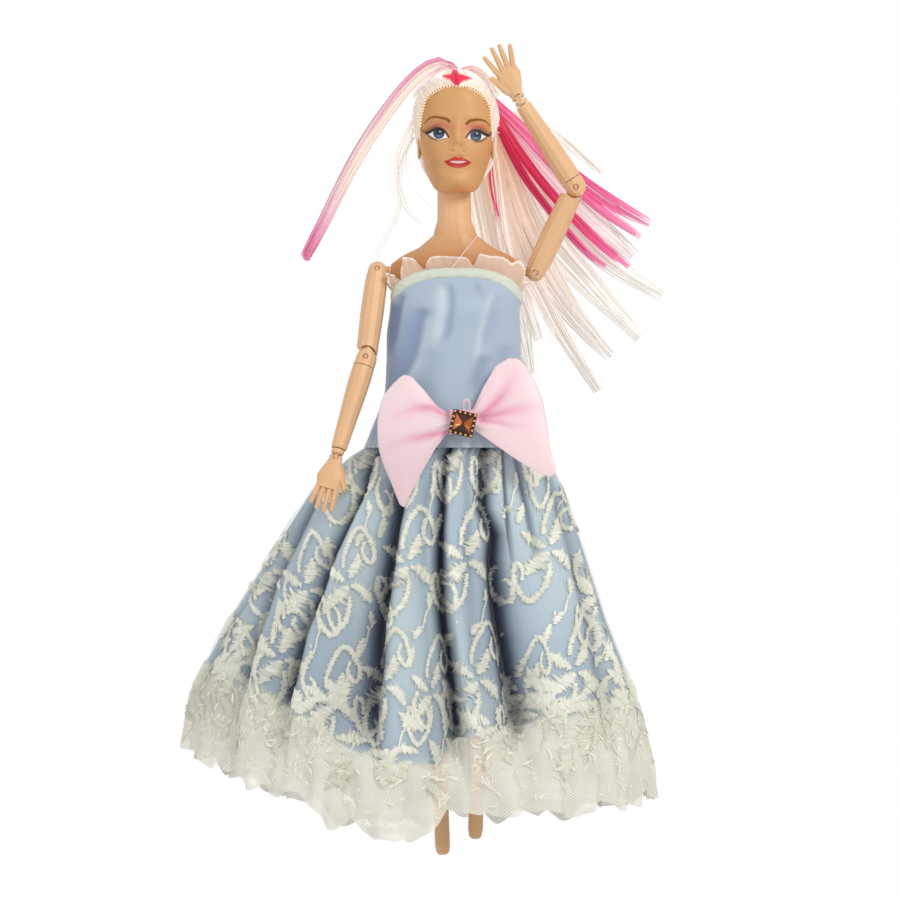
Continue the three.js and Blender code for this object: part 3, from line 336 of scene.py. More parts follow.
def plastic(name, colour):
    return Finish(name, colour, 0.42, Subsurface_Weight=0.12, Subsurface_Scale=0.002,
                  Subsurface_Radius=(1.0, 0.45, 0.25), Specular_IOR_Level=0.35)


limb = plastic("limb_plastic", SKIN)
limb.vary("#DFB285", SKIN, limb.noise(60), 0.2, 0.6)
SKIN_FINISH = limb.material
# The torso is darker below its neck and shoulders
chest = plastic("torso_plastic", TORSO_SKIN)
height = chest.node("ShaderNodeMapRange", **{"From Min": 0.038, "From Max": 0.057})
chest.join(chest.split(chest.node("ShaderNodeTexCoord").outputs["Object"])["Z"], height.inputs["Value"])
chest.vary("#BE8451", "#E6B78A", height.outputs["Result"], 0.0, 1.0)
TORSO_FINISH = chest.material
pin = Finish("pin_plastic", "#DDAE84", 0.35)
pin.vary("#D2A078", "#E3B68C", pin.noise(900))
PIN_FINISH = pin.material


# Stage

AMBIENT = 0.66
KEY_POWER = 9.0
FILL_POWER = 2.0


def make_stage():
    """The camera, and a world that lights the doll and shows as white: behind it, in gloss and through glass."""
    scene = bpy.context.scene
    scene.view_settings.view_transform = "Standard"
    camera = bpy.data.objects.new("camera", bpy.data.cameras.new("camera"))
    scene.collection.objects.link(camera)
    camera.data.sensor_width = SENSOR
    camera.data.lens = LENS
    camera.location = (CAMERA_X * MM, CAMERA_Y * MM, CAMERA_Z * MM)
    camera.rotation_euler = (math.radians(90), 0, 0)
    camera.data.clip_start = 0.01
    camera.data.clip_end = 20
    scene.camera = camera
    world = bpy.data.worlds.new("room")
    scene.world = world
    world.use_nodes = True
    nodes, links = world.node_tree.nodes, world.node_tree.links
    nodes.clear()
    path = nodes.new("ShaderNodeLightPath")
    seen = path.outputs["Is Camera Ray"]
    for ray in ("Is Transmission Ray", "Is Glossy Ray"):
        either = nodes.new("ShaderNodeMath")
        either.operation = "MAXIMUM"
        links.new(seen, either.inputs[0])
        links.new(path.outputs[ray], either.inputs[1])
        seen = either.outputs[0]
    room = nodes.new("ShaderNodeBackground")
    room.inputs["Color"].default_value = (1, 0.985, 0.965, 1)
    room.inputs["Strength"].default_value = AMBIENT
    white = nodes.new("ShaderNodeBackground")
    white.inputs["Strength"].default_value = 1.0
    white.inputs["Color"].default_value = (1, 1, 1, 1)
    either = nodes.new("ShaderNodeMixShader")
    links.new(seen, either.inputs[0])
    links.new(room.outputs[0], either.inputs[1])
    links.new(white.outputs[0], either.inputs[2])
    out = nodes.new("ShaderNodeOutputWorld")
    links.new(either.outputs[0], out.inputs["Surface"])


def lamp(name, spot, aim, size, power, colour=(1, 1, 1)):
    data = bpy.data.lights.new(name, "AREA")
    data.energy = power
    data.size = size
    data.color = colour
    made = bpy.data.objects.new(name, data)
    bpy.context.scene.collection.objects.link(made)
    made.location = spot
    way = np.array(aim, float) - np.array(spot, float)
    flat = math.hypot(way[0], way[1])
    made.rotation_euler = (math.atan2(flat, -way[2]), 0, math.atan2(-way[0], way[1]))


make_stage()
lamp("key", (0.75, -0.95, 0.75), (0, 0, -0.02), 0.5, KEY_POWER, (1, 0.98, 0.95))
lamp("fill", (-0.9, -0.8, -0.1), (0, 0, -0.03), 0.8, FILL_POWER)


# Pieces that keep the shape of their solid

LIMBS = (
    "shoulder_joint", "upper_arm", "elbow_connector", "forearm", "wrist_joint", "hand",
    "hip_joint", "thigh", "lower_leg",
)
PINS = ("shoulder_pin", "elbow_pin", "wrist_pin", "hip_pin", "knee_pin")
SHARP_EDGE = math.radians(62)


def dress(node, material):
    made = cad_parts[node]
    made.data.materials.clear()
    made.data.materials.append(material)
    made.data.polygons.foreach_set("use_smooth", [True] * len(made.data.polygons))
    made.data.set_sharp_from_angle(angle=SHARP_EDGE)


for side in ("left", "right"):
    for piece in LIMBS:
        dress(f"{piece}_{side}", SKIN_FINISH)
    for piece in PINS:
        dress(f"{piece}_{side}", PIN_FINISH)
for node in ("torso_front", "torso_back", "neck_knob", "hip_axle"):
    dress(node, TORSO_FINISH)


# Cloth finishes

NET_PITCH = 0.95
# Painted glow: thin pale threads give out this share of their colour, for the light that passes through them
NET_GLOW = 0.1


def cloth_weave(finish, pitch, depth, strength):
    """Fine crossing threads; pitch and depth are in mm."""
    cloth = finish.cloth()
    waves = [finish.math("SINE", finish.math("MULTIPLY", cloth[axis], TAU / pitch)) for axis in ("X", "Y")]
    finish.bump(finish.math("MULTIPLY", *waves), depth, strength)
    return finish.material


def net_finish():
    """Fine net: crossing waves make its cover denser and thinner."""
    made = Finish("net", LACE, 0.8).painted().glow(NET_GLOW)
    waves = []
    for down in (0.75, -0.75):
        lean = made.node("ShaderNodeVectorMath", operation="DOT_PRODUCT")
        made.join(made.attribute("cloth")["Vector"], lean.inputs[0])
        lean.inputs[1].default_value = (0.8 * TAU / NET_PITCH, down * TAU / NET_PITCH, 0)
        waves.append(made.math("SINE", lean.outputs["Value"]))
    threads = made.math("MULTIPLY_ADD", waves[1], 0.45, waves[0])
    held = made.node("ShaderNodeClamp")
    made.join(made.math("MULTIPLY_ADD", threads, 0.12, made.cloth()["Z"]), held.inputs["Value"])
    made.join(held.outputs["Result"], made.shader.inputs["Alpha"])
    return made.material


def sheer(finish):
    """Lets through the light that the cover doesn't stop."""
    finish.join(finish.cloth()["Z"], finish.shader.inputs["Alpha"])
    return finish.material


SATIN_FINISH = cloth_weave(
    Finish("blue_satin", SATIN, 0.46, Sheen_Weight=0.35, Sheen_Roughness=0.4, Anisotropic=0.5,
           Specular_IOR_Level=0.45).painted(),
    0.95, 0.08, 0.5)
BOW_FINISH = cloth_weave(
    Finish("pink_satin", BOW, 0.4, Anisotropic=0.4, Sheen_Weight=0.3).painted(), 0.5, 0.03, 0.25)
NET_FINISH = net_finish()
thread = Finish("lace_thread", LACE, 0.85).painted().glow(NET_GLOW)
LACE_FINISH = sheer(thread.bump(thread.noise(2600), 0.12, 0.5))
ORGANZA_FINISH = sheer(Finish("organza", ORGANZA, 0.5).painted())
band = Finish("cream_binding", BAND, 0.6)
band.vary("#C3CCBF", "#DADFD2", band.noise(500, (1, 1, 3)), 0.25, 0.7)
BAND_FINISH = band.bump(band.noise(1800, (1, 1, 3)), 0.1, 0.4).material
GOLD_FINISH = Finish("brooch_gold", GOLD, 0.32, Metallic=0.55).painted().material
AMBER_FINISH = Finish("brooch_amber", AMBER, 0.12, Specular_IOR_Level=0.4).painted().material


# Gown

SEAM_Z = -31.0
SATIN_HEM_Z = -136.0
BODICE_ROWS = [
    [-31, 34.5, 22, 21, -0.6], [-26, 32.5, 22.2, 20.5, -0.8], [-20, 29.9, 22, 19, -1], [-10, 26.9, 21, 16, -1],
    [2, 25.9, 20.2, 13.6, -1], [12, 25.8, 19.8, 12.4, -1], [22, 25, 19.5, 11, -0.6], [30, 25.7, 14.6, 10.4, 0],
    [36, 27.5, 11.2, 10.2, 0],
]
TORSO_ROWS = [
    [20, 22.6, 17, 9.3], [22, 23, 17.2, 9.3], [28, 23.4, 12.7, 8.8], [32, 25.6, 10, 8.4], [36, 26.2, 8.6, 8.2],
    [39, 25.2, 8.2, 8.4], [42, 21.2, 8, 8.4], [45.5, 14, 7.4, 8, -0.2],
]
SKIRT_REACH = [
    [-181, 108, 80, 60, 60], [-149, 106, 76, 56, 55], [-126, 103, 70, 51, 50], [-99, 89, 59, 44, 43],
    [-69, 70, 49, 35, 34], [-47, 56, 41.5, 28.5, 27.5], [-36, 42.5, 36, 24.5, 23.5], [-31.3, 35.1, 33.9, 22, 21],
]
SKIRT_ROWS = [[z, (l + r) / 2, f, b, (r - l) / 2] for z, l, r, f, b in SKIRT_REACH]
SKIRT_TOP = SKIRT_REACH[-1][0]
CLOTH_LOW, CLOTH_TOP = -186.0, -31.6
FOLDS = 18
FOLD_START = math.radians(2.5)
FOLD_DEPTH = 5.5
# Height over which the folds grow to their full depth
FOLD_FALL = 130
VALLEY_DEEPEST = 9.0
VALLEY_CARVE = 8.8
# Valleys of the front: picture places down each one, depth in mm, and width in mm to its left and right
VALLEYS = [
    ([(330, 470), (312, 505), (294, 542), (272, 583), (262, 613), (249, 654), (241, 689), (232, 715)], 6.0, 6.0, 1.5),
    ([(382, 447), (364, 489), (351, 513), (331, 554), (315, 601), (300, 636), (291, 675), (284, 705)], 8.0, 5.5, 1.2),
    ([(404, 480), (401, 507), (396, 526), (391, 562), (386, 593), (381, 624), (379, 665), (374, 700)], 8.5, 8.0, 1.6),
    ([(424, 500), (422, 560), (424, 620), (428, 690)], 1.6, 4.0, 4.0),
    ([(448, 455), (447, 471), (445, 507), (443.5, 532), (445, 593), (451.4, 644), (457.6, 695), (462, 735)],
     9.0, 4.6, 1.1),
    ([(469, 455), (468, 500), (468, 560), (474, 640)], 1.8, 3.0, 3.0),
    ([(488, 450), (487, 490), (488, 510), (500, 535), (499, 560), (504, 600), (511, 640), (518, 680), (524, 712)],
     9.0, 5.6, 3.2),
    ([(505, 453), (507, 489), (509, 515)], 5.0, 1.2, 1.0),
    ([(520, 462), (525, 487), (532, 515)], 4.0, 2.2, 1.6),
    ([(552, 480), (572, 535), (590, 600), (602, 660), (610, 705)], 2.6, 6.0, 4.5),
]


def skirt_turn(across, down):
    """Turns and levels of the places on the front of the skirt that show there."""
    across, down = np.asarray(across, float), np.asarray(down, float)
    y = np.full(across.shape, -30.0)
    for _ in range(7):
        x, _, z = place(across, down, y)
        half, front, _, shift = row_at(SKIRT_ROWS, z)
        c = np.clip((x - shift) / half, -0.999, 0.999)
        y = -front * np.sqrt(1 - c * c)
    return -np.arccos(c), z


VALLEY_PATHS = []
for path, depth, left, right in VALLEYS:
    places = np.array(path, float)
    spot_turn, spot_level = skirt_turn(places[:, 0], places[:, 1])
    order = np.argsort(spot_level)
    VALLEY_PATHS.append((spot_level[order], spot_turn[order], depth, left, right))


def fold_in(turn, level):
    """How far the skirt is drawn in from its widest shape, and how much painted shade it gets, from 0 to 1, which grows
    with how deep in a valley it is.
    """
    drop = np.clip((SEAM_Z - level) / FOLD_FALL, 0, 1.2)
    half, front, back, _ = row_at(SKIRT_ROWS, level)
    deep = np.where(np.sin(turn) < 0, front, back)
    pace = np.sqrt((half * np.sin(turn)) ** 2 + (deep * np.cos(turn)) ** 2)
    plain = FOLD_DEPTH * drop**0.7 * (1 - np.cos(FOLDS * (turn - FOLD_START))) / 2
    ripple = 0.45 * np.sin(7 * turn + level / 26) * drop
    front_share = smooth(-np.sin(turn), 0.05, 0.4)
    valley, broad_shade = np.zeros_like(turn), np.zeros_like(turn)
    for levels, turns, depth, left, right in VALLEY_PATHS:
        centre = np.interp(level, levels, turns)
        reach = smooth(level, levels[0] - 30, levels[0]) * smooth(-level, -levels[-1] - 14, -levels[-1])
        reach = reach * depth / VALLEY_DEEPEST
        gap = (turn - centre) * pace / (0.52 + 0.9 * drop)
        gap = np.where(gap < 0, -gap / left, gap / right)
        valley = np.maximum(valley, reach * np.exp(-(gap**1.7)))
        broad_shade = np.maximum(broad_shade, reach * np.exp(-((gap / 2.5) ** 2)))
    carved = VALLEY_CARVE * (0.25 + 0.75 * np.clip(drop * 2.2, 0, 1)) * valley
    gather = 0.55 * np.exp(drop * -9) * (1 + np.sin(62 * turn + 2.2 * np.sin(9 * turn)))
    inward = plain * (1 - front_share) + (carved + 0.12 * plain) * front_share + ripple + gather
    # Painted shade: the valleys, and a broader shade round them lower down
    dark = np.maximum(valley, 0.36 * broad_shade * np.clip(drop * 1.6, 0.3, 1))
    shade = dark * front_share + (plain / FOLD_DEPTH) ** 1.5 * (1 - front_share)
    return inward, np.clip(shade, 0, 1)


def skirt_point(turn, level, inset):
    """Points of the folded skirt, drawn in by the inset in mm."""
    inward, _ = fold_in(turn, level)
    half, front, back, shift = row_at(SKIRT_ROWS, level)
    grow = -inward - inset
    deep = np.where(np.sin(turn) < 0, front, back)
    x = shift + (half + grow) * np.cos(turn)
    y = (deep + grow) * np.sin(turn)
    return np.stack([x, y, level], -1)


# Columns round the skirt, closer together at the front
TURNS = np.concatenate([np.linspace(-math.pi - 0.25, 0.25, 460), np.linspace(0.25, math.pi - 0.25, 150)[1:-1]])
ARC_LEVELS = np.linspace(CLOTH_LOW, -32, 110)
ARC_TURNS = np.linspace(-math.pi - 0.6, math.pi + 0.6, 2600)


def arc_table():
    """Length along the cloth round the skirt, at each level."""
    rows = []
    for level in ARC_LEVELS:
        p = skirt_point(ARC_TURNS, np.full_like(ARC_TURNS, level), 0)
        steps = np.linalg.norm(np.diff(p, axis=0), axis=1)
        rows.append(np.concatenate([[0], np.cumsum(steps)]))
    return np.array(rows)


ARC = arc_table()


def turns_from(turn0, level, along):
    """Turn of places that lie a length along the cloth from turn0, at each level."""
    share = (level - ARC_LEVELS[0]) / (ARC_LEVELS[1] - ARC_LEVELS[0])
    low = np.clip(np.floor(share).astype(int), 0, len(ARC_LEVELS) - 2)
    share = np.clip(share - low, 0, 1)
    out = np.zeros_like(level)
    for i in np.unique(low):
        here = low == i
        ends = []
        for k in (i, i + 1):
            start = np.interp(turn0, ARC_TURNS, ARC[k])
            ends.append(np.interp(start + along[here], ARC[k], ARC_TURNS))
        out[here] = ends[0] + (ends[1] - ends[0]) * share[here]
    return out


# Rise of the lace's lower edge above its plain line at the front and at the back: share of the half width, and mm
HEM_FRONT = [
    (-1, 5.3), (-0.87, 4.5), (-0.7, 4.3), (-0.6, 2.6), (-0.49, 2.4), (-0.42, 0), (-0.34, -4.8), (-0.25, -6.4),
    (-0.17, -10), (-0.1, -12), (-0.03, -10.6), (0.05, -6.8), (0.12, -2.2), (0.22, -1.6), (0.45, -1.2), (0.58, -2.8),
    (0.7, -2), (0.76, -0.8), (0.84, -2.5), (0.92, 0), (1, 0.4),
]
HEM_BACK = [
    (-1, 5.8), (-0.92, 5.3), (-0.8, 7), (-0.65, 6), (-0.5, 5.6), (-0.4, 1), (-0.3, 0.4), (0.08, 1.6), (0.2, 3.6),
    (0.4, 3), (0.6, 1.5), (0.8, 2.4), (0.9, 1), (1, 0.7),
]


def lace_hem(turn):
    """Level of the lace's scalloped lower edge round the skirt."""
    rear = (1 + np.sin(turn)) / 2
    c = np.cos(turn)
    front, back = (np.interp(c, *zip(*table)) for table in (HEM_FRONT, HEM_BACK))
    rise = front + (back - front) * smooth(np.sin(turn), -0.15, 0.15)
    hem = rise - 162 - 23.5 * rear + np.where(c < 0, 22, 8) * np.abs(c) ** 3 + 1.2 * np.cos(FOLDS * turn)
    scallop = np.abs(np.sin(turn * 17 + 0.6 * np.sin(5 * turn))) ** 0.7
    return hem - 3.2 * scallop + 1.3 + 0.8 * np.sin(41 * turn + 2 * np.sin(3 * turn))


# Where the satin ends round the front: share of the half width, and height above its plain hem in mm
SATIN_TILT = [
    (-1, 20), (-0.93, 19), (-0.69, 14), (-0.38, 1), (-0.18, -9), (-0.05, -13), (0.08, -9), (0.17, -4), (0.48, 2),
    (0.75, 7), (0.93, 9), (1, 9),
]


def satin_hem(turn):
    """Level of the satin's lower edge round the skirt."""
    rise = np.interp(np.cos(turn), *zip(*SATIN_TILT)) * smooth(-np.sin(turn), -0.1, 0.2)
    return SATIN_HEM_Z + rise + 1.2 * np.sin(FOLDS * turn) + 0.5 * np.sin(31 * turn)


def cloth_along(levels):
    """Length along the cloth from the middle of the front, for a grid of levels over all columns."""
    along = np.zeros(levels.shape)
    for r, row in enumerate(levels):
        at = np.interp(row, ARC_LEVELS, np.arange(len(ARC_LEVELS))).astype(int)
        low = np.clip(at, 0, len(ARC_LEVELS) - 2)
        for k in np.unique(low):
            here = low == k
            arc = ARC[k] - np.interp(-math.pi / 2, ARC_TURNS, ARC[k])
            along[r, here] = np.interp(TURNS[here], ARC_TURNS, arc)
    return along.reshape(-1)


def skirt_grid(hem, rows, inset):
    """Points of a skirt layer from the waist down to a hem that varies round it, with their turns and levels."""
    levels = SKIRT_TOP + (hem - SKIRT_TOP) * np.linspace(0, 1, rows)[:, None]
    turns = np.broadcast_to(TURNS, levels.shape)
    return skirt_point(turns, levels, inset), turns, levels


def make_satin_skirt():
    points, turns, levels = skirt_grid(satin_hem(TURNS), 104, 1.0)
    made = mesh_object("satin_skirt_cloth", points.reshape(-1, 3), grid_faces(*levels.shape, True), SATIN_FINISH)
    turn, level = turns.reshape(-1), levels.reshape(-1)
    _, shade = fold_in(turn, level)
    # Painted light and shade: lighter and darker bands for light on the satin's slopes, then painted shade in the
    # folds, near black at the bottom of the deepest valleys
    sheen_band = np.sin(turn * 5 + level / 17)
    colour = mix(tint("#BACFDA"), tint("#9DB6CB"), 0.5 + 0.5 * sheen_band)
    colour = mix(colour, tint(SATIN_VALLEY_SHADE), np.clip(1.45 * shade**0.9, 0, 1))
    colour = mix(colour, tint("#0E1424"), smooth(shade, 0.55, 1.0))
    paint(made, colour)
    lay_cloth(made, cloth_along(levels), level, 0)
    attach(made, "torso")
    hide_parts("satin_skirt")


def make_lace_skirt():
    points, turns, levels = skirt_grid(lace_hem(TURNS), 132, 0.3)
    # The free hem ripples more than the satin holds
    ripple = 1.5 * np.sin(turns * 34 + levels / 11) + 0.9 * np.sin(turns * 61 - levels / 7)
    ripple = ripple * smooth(-levels, 128, 172)
    points = points + ripple[..., None] * np.stack([np.cos(turns), np.sin(turns), 0 * turns], -1)
    made = mesh_object("lace_overskirt_net", points.reshape(-1, 3), grid_faces(*levels.shape, True), NET_FINISH)
    turn, level = turns.reshape(-1), levels.reshape(-1)
    free = smooth(satin_hem(turn) - level, -5, 4)
    _, shade = fold_in(turn, level)
    colour = mix(tint("#DCE6E8"), tint("#EFEDE3"), free)
    # Painted shade in the folds, less of it in the sheer hem
    colour = mix(colour, tint("#39435C"), shade * (1 - 0.8 * free))
    ribs = 0.5 + 0.5 * np.sin(level * TAU / 4.4 + 0.5 * np.sin(turn * 9))
    colour = mix(colour, tint("#CFCDC0"), free * ribs * 0.35)
    cloudy = 0.5 + 0.5 * np.sin(23 * turn + level / 7) * np.sin(17 * turn - level / 5)
    paint(made, mix(colour, tint("#BDBDAA"), free * (0.15 + 0.4 * cloudy)))
    cover = 0.27 * (1 - 0.8 * shade) * (1 - free) + free * (0.66 + 0.08 * ribs + 0.12 * cloudy)
    lay_cloth(made, cloth_along(levels), level, cover)
    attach(made, "torso")
    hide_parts("lace_overskirt")


# Lace embroidery: paths of one motif, in picture units from its middle, and widths at their points

MOTIF = [
    ([(-29, -14), (-20, -8.5), (-12, -3.5), (-5, 1)], [2, 9.5, 8.5, 3]),
    ([(9.5, -27), (8, -18), (4.5, -9), (0.5, -1.5)], [2, 10, 10, 3.5]),
    ([(-1, 6), (-8, 12), (-16, 20), (-24, 29)], [3.5, 13, 14, 3]),
    ([(1.5, 6), (8, 7.5), (14, 12), (18, 17), (21, 23)], [3, 8, 10, 8, 3]),
    ([(-6.5, -12), (-6, -23), (-1, -37), (6.7, -50), (13, -52.5), (19.5, -46), (24.5, -34.5), (26, -24.5),
      (22, -17), (15.7, -23), (14.4, -31), (17, -38.5)], [4, 4.6, 5, 5.2, 5, 5, 4.8, 4.6, 4.6, 4.2, 3.8, 3]),
    ([(-0.3, 16.5), (-1, 28), (-4.7, 40.7), (-12.4, 49.6), (-19, 54.7), (-26.4, 51), (-33, 40.7), (-35.4, 28),
      (-33, 17.7), (-27.7, 22.8), (-27.7, 34.3)], [4, 5, 5.4, 5.6, 5.6, 5.4, 5.2, 5, 4.8, 4.2, 3.2]),
    ([(19.5, 32), (21, 40), (21, 47)], [3, 6.5, 3]),
    ([(21, 47), (17.6, 52), (14.4, 65), (11, 69)], [2, 2, 2.2, 2]),
    ([(13, 66), (9.3, 70), (5.5, 78)], [3, 8, 3]),
    ([(-26, -43), (-29, -33), (-31.5, -23)], [3, 7.5, 3]),
    ([(-23, -54.5), (-21, -53.5)], [3.4, 3.4]),
    ([(35, 9), (31, 20), (33, 33), (40, 44), (46, 44.5), (46, 30), (40, 22)], [3, 5, 5.2, 5.2, 4.6, 4.6, 3.2]),
]
ALL_PARTS = range(len(MOTIF))
# How much wider the sewn ribbons look than the drawn ones
FAT = 1.18


def ribbon(path, widths, step, random):
    """Left edge, two middle lines and right edge of an embroidered ribbon, in mm along and down the cloth."""
    line = np.column_stack([np.asarray(path, float), np.asarray(widths, float)]) * MM_PER_UNIT
    length = np.sum(np.linalg.norm(np.diff(line[:, :2], axis=0), axis=1))
    line = spline(line, max(4, int(length / step)))
    ahead = unit(np.gradient(line[:, :2], axis=0))
    side = np.stack([-ahead[:, 1], ahead[:, 0]], 1)
    out = []
    for share in (-1, -0.5, 0.5, 1):
        half = line[:, 2] / 2 * share
        rag = 1 + (0.34 if abs(share) == 1 else 0.14) * random.standard_normal(len(line))
        out.append(line[:, :2] + side * (half * rag)[:, None] + ahead * (0.35 * half)[:, None])
    return np.stack(out, 1)


class Embroidery:
    """Satin-stitched ribbons sewn on the net, in one mesh."""

    def __init__(self, step, seed):
        self.step = step
        self.random = np.random.default_rng(seed)
        self.points, self.faces, self.colours, self.covers = [], [], [], []
        self.start = 0

    def sew(self, strip, turn, level):
        """Add a ribbon, less the parts that would lie above the waist or below the hem."""
        random = self.random
        fits = (level < -31.8) & (level > lace_hem(turn) + 0.8)
        rows = len(strip)
        height = np.tile([0.05, 0.16, 0.16, 0.05], rows)
        height = height + 0.05 * random.standard_normal(len(height)) * (height > 0.1)
        quads = grid_faces(rows, 4, False, self.start).reshape(rows - 1, 3, 4)
        whole = fits.reshape(rows, 4).all(1)
        self.points.append(skirt_point(turn, np.clip(level, CLOTH_LOW, CLOTH_TOP), -height))
        self.faces.append(quads[whole[:-1] & whole[1:]].reshape(-1, 4))
        _, shade = fold_in(turn, level)
        # Painted shade: each ribbon's edges and random stitch rows are darker, olive-grey patches lie over it, and the
        # fold valleys darken it most; the sheer hem gets the same olive grey more thickly
        edge = np.tile([1.0, 0.0, 0.0, 1.0], rows)
        stitch = np.repeat(random.random(rows), 4)
        patchy_shade = 0.5 + 0.5 * np.sin(5 * turn + level / 9) * np.sin(11 * turn - level / 6)
        free = smooth(satin_hem(turn) - level, -6, 8)
        colour = mix(tint("#FAFBF1"), tint(LACE_EDGE_SHADE), 0.3 * edge + 0.35 * stitch**2)
        colour = mix(colour, tint("#A5A68A"), 0.28 * patchy_shade + 0.35 * free)
        colour = mix(colour, tint("#363D4B"), np.clip(1.15 * shade * (1 - 0.8 * free), 0, 0.95))
        self.colours.append(mix(colour, tint("#C3C6B4"), 0.35 * random.random(len(colour))))
        cover = (0.75 + 0.25 * (stitch > 0.3)) * (1 - 0.4 * edge)
        self.covers.append(np.clip(cover + 0.1 * random.standard_normal(len(cover)), 0.15, 1))
        self.start += 4 * rows

    def seen(self, across, down, wide, keep=ALL_PARTS):
        """A motif where it shows in the picture, on the front of the skirt."""
        for index in keep:
            path, widths = MOTIF[index]
            strip = ribbon(path, np.asarray(widths) * FAT, self.step, self.random)
            flat = strip.reshape(-1, 2) / MM_PER_UNIT
            turn, level = skirt_turn(across + flat[:, 0] * wide, down + flat[:, 1])
            self.sew(strip, turn, level)

    def laid(self, turn0, level0, size, keep=ALL_PARTS, spin=0.0):
        """A motif laid along the cloth, round the sides and the back."""
        for index in keep:
            path, widths = MOTIF[index]
            strip = ribbon(path, np.asarray(widths) * FAT, self.step, self.random) * size
            flat = strip.reshape(-1, 2)
            along = flat[:, 0] * math.cos(spin) - flat[:, 1] * math.sin(spin)
            level = level0 - (flat[:, 0] * math.sin(spin) + flat[:, 1] * math.cos(spin)) * 0.93
            self.sew(strip, turns_from(turn0, level, along), level)

    def build(self, name):
        faces = np.vstack(self.faces)
        used = np.unique(faces)
        points, colours, covers = (np.concatenate(v)[used] for v in (self.points, self.colours, self.covers))
        made = mesh_object(name, points, np.searchsorted(used, faces), LACE_FINISH)
        paint(made, colours)
        lay_cloth(made, 0, 0, covers)
        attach(made, "torso")


# Motifs that show on the front: picture place of the middle, and how wide each looks
SEEN_MOTIFS = [
    (268, 566, 0.55), (304, 585, 0.75), (349, 580, 0.9), (409, 561, 1), (468, 557, 1), (550, 546, 1), (598, 590, 0.6),
    (228, 672, 0.6), (278, 655, 0.8), (332, 700, 0.95), (385, 682, 0.95), (432, 690, 0.7), (479, 676, 1),
    (530, 690, 0.8), (577, 667, 1), (628, 684, 0.6),
]
TOP_MOTIFS = [(352, 468, 0.8), (377, 440, 0.8), (418, 452, 0.7), (462, 446, 0.8), (500, 440, 0.8), (552, 452, 0.6)]
LOWER_PARTS = (5, 6, 7, 8, 11, 2)
BORDER_PARTS = ((2,), (0, 3), (1, 2), (3, 6), (0,), (1,))
BACK_START = 0.28
FLECKS = 760
FLECK_LOW = -185


def make_embroidery():
    """Whole motifs, smaller ones under the waist, and loose parts along the edge of the satin."""
    front = Embroidery(0.34, 3)
    for across, down, wide in SEEN_MOTIFS:
        front.seen(across, down, wide)
    for across, down, wide in TOP_MOTIFS:
        front.seen(across, down, wide, LOWER_PARTS)
    back = Embroidery(0.7, 4)
    for row, (count, level) in enumerate(((5, -72), (6, -120))):
        for i in range(count):
            pace = (math.pi - 2 * BACK_START) / count
            back.laid(BACK_START + pace * (i + 0.5) + 0.1 * row, level, 1.15)
            back.laid(BACK_START + pace * (i + 0.1), -44, 1.0, LOWER_PARTS)
    for cloth, first, last, count in ((front, -math.pi - 0.1, 0.1, 84), (back, 0.1, math.pi - 0.1, 40)):
        random = cloth.random
        for i in range(count):
            turn = first + (last - first) * (i + random.random()) / count
            keep = BORDER_PARTS[random.integers(len(BORDER_PARTS))]
            level = float(satin_hem(turn)) + random.uniform(-9, 15)
            cloth.laid(turn, level, random.uniform(0.8, 1.2), keep, random.uniform(-1.2, 1.2))
    front.build("lace_embroidery_front")
    back.build("lace_embroidery_back")


def make_flecks():
    """Tiny curved flecks of thread in the sheer hem."""
    random = np.random.default_rng(11)
    points, faces, colours = [], [], []
    start = 0
    t = np.linspace(-1, 1, 6)
    for _ in range(FLECKS):
        turn0 = random.uniform(-math.pi, math.pi)
        hem = float(lace_hem(turn0))
        level0 = random.uniform(hem + 3, max(float(satin_hem(turn0)), hem + 12))
        angle = random.uniform(0, math.pi)
        size = random.uniform(0.7, 2.6)
        bend = random.uniform(-0.6, 0.6) * t * t
        path = np.stack([t * math.cos(angle) - bend * math.sin(angle), t * math.sin(angle) + bend * math.cos(angle)], 1)
        widths = np.array([0.5, 1.2, 1.6, 1.5, 1.1, 0.4]) * random.uniform(0.7, 1.5)
        strip = ribbon(path * size / MM_PER_UNIT, widths, 0.8, random)
        flat = strip.reshape(-1, 2)
        level = level0 - flat[:, 1]
        turn = turns_from(turn0, np.maximum(level, FLECK_LOW), flat[:, 0])
        level = np.maximum(level, lace_hem(turn) + 0.5)
        points.append(skirt_point(turn, level, -0.25 - 0.1 * random.random()))
        faces.append(grid_faces(len(strip), 4, False, start))
        colours.append(mix(tint("#F4F2E6"), tint("#C8C3A4"), random.random(len(flat)) * 0.7))
        start += len(flat)
    made = mesh_object("lace_flecks", np.vstack(points), np.vstack(faces), LACE_FINISH)
    paint(made, np.vstack(colours))
    lay_cloth(made, 0, 0, 0.85)
    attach(made, "torso")


# Bodice: crease lines in the picture, depth in mm (a rise when negative) and width in mm

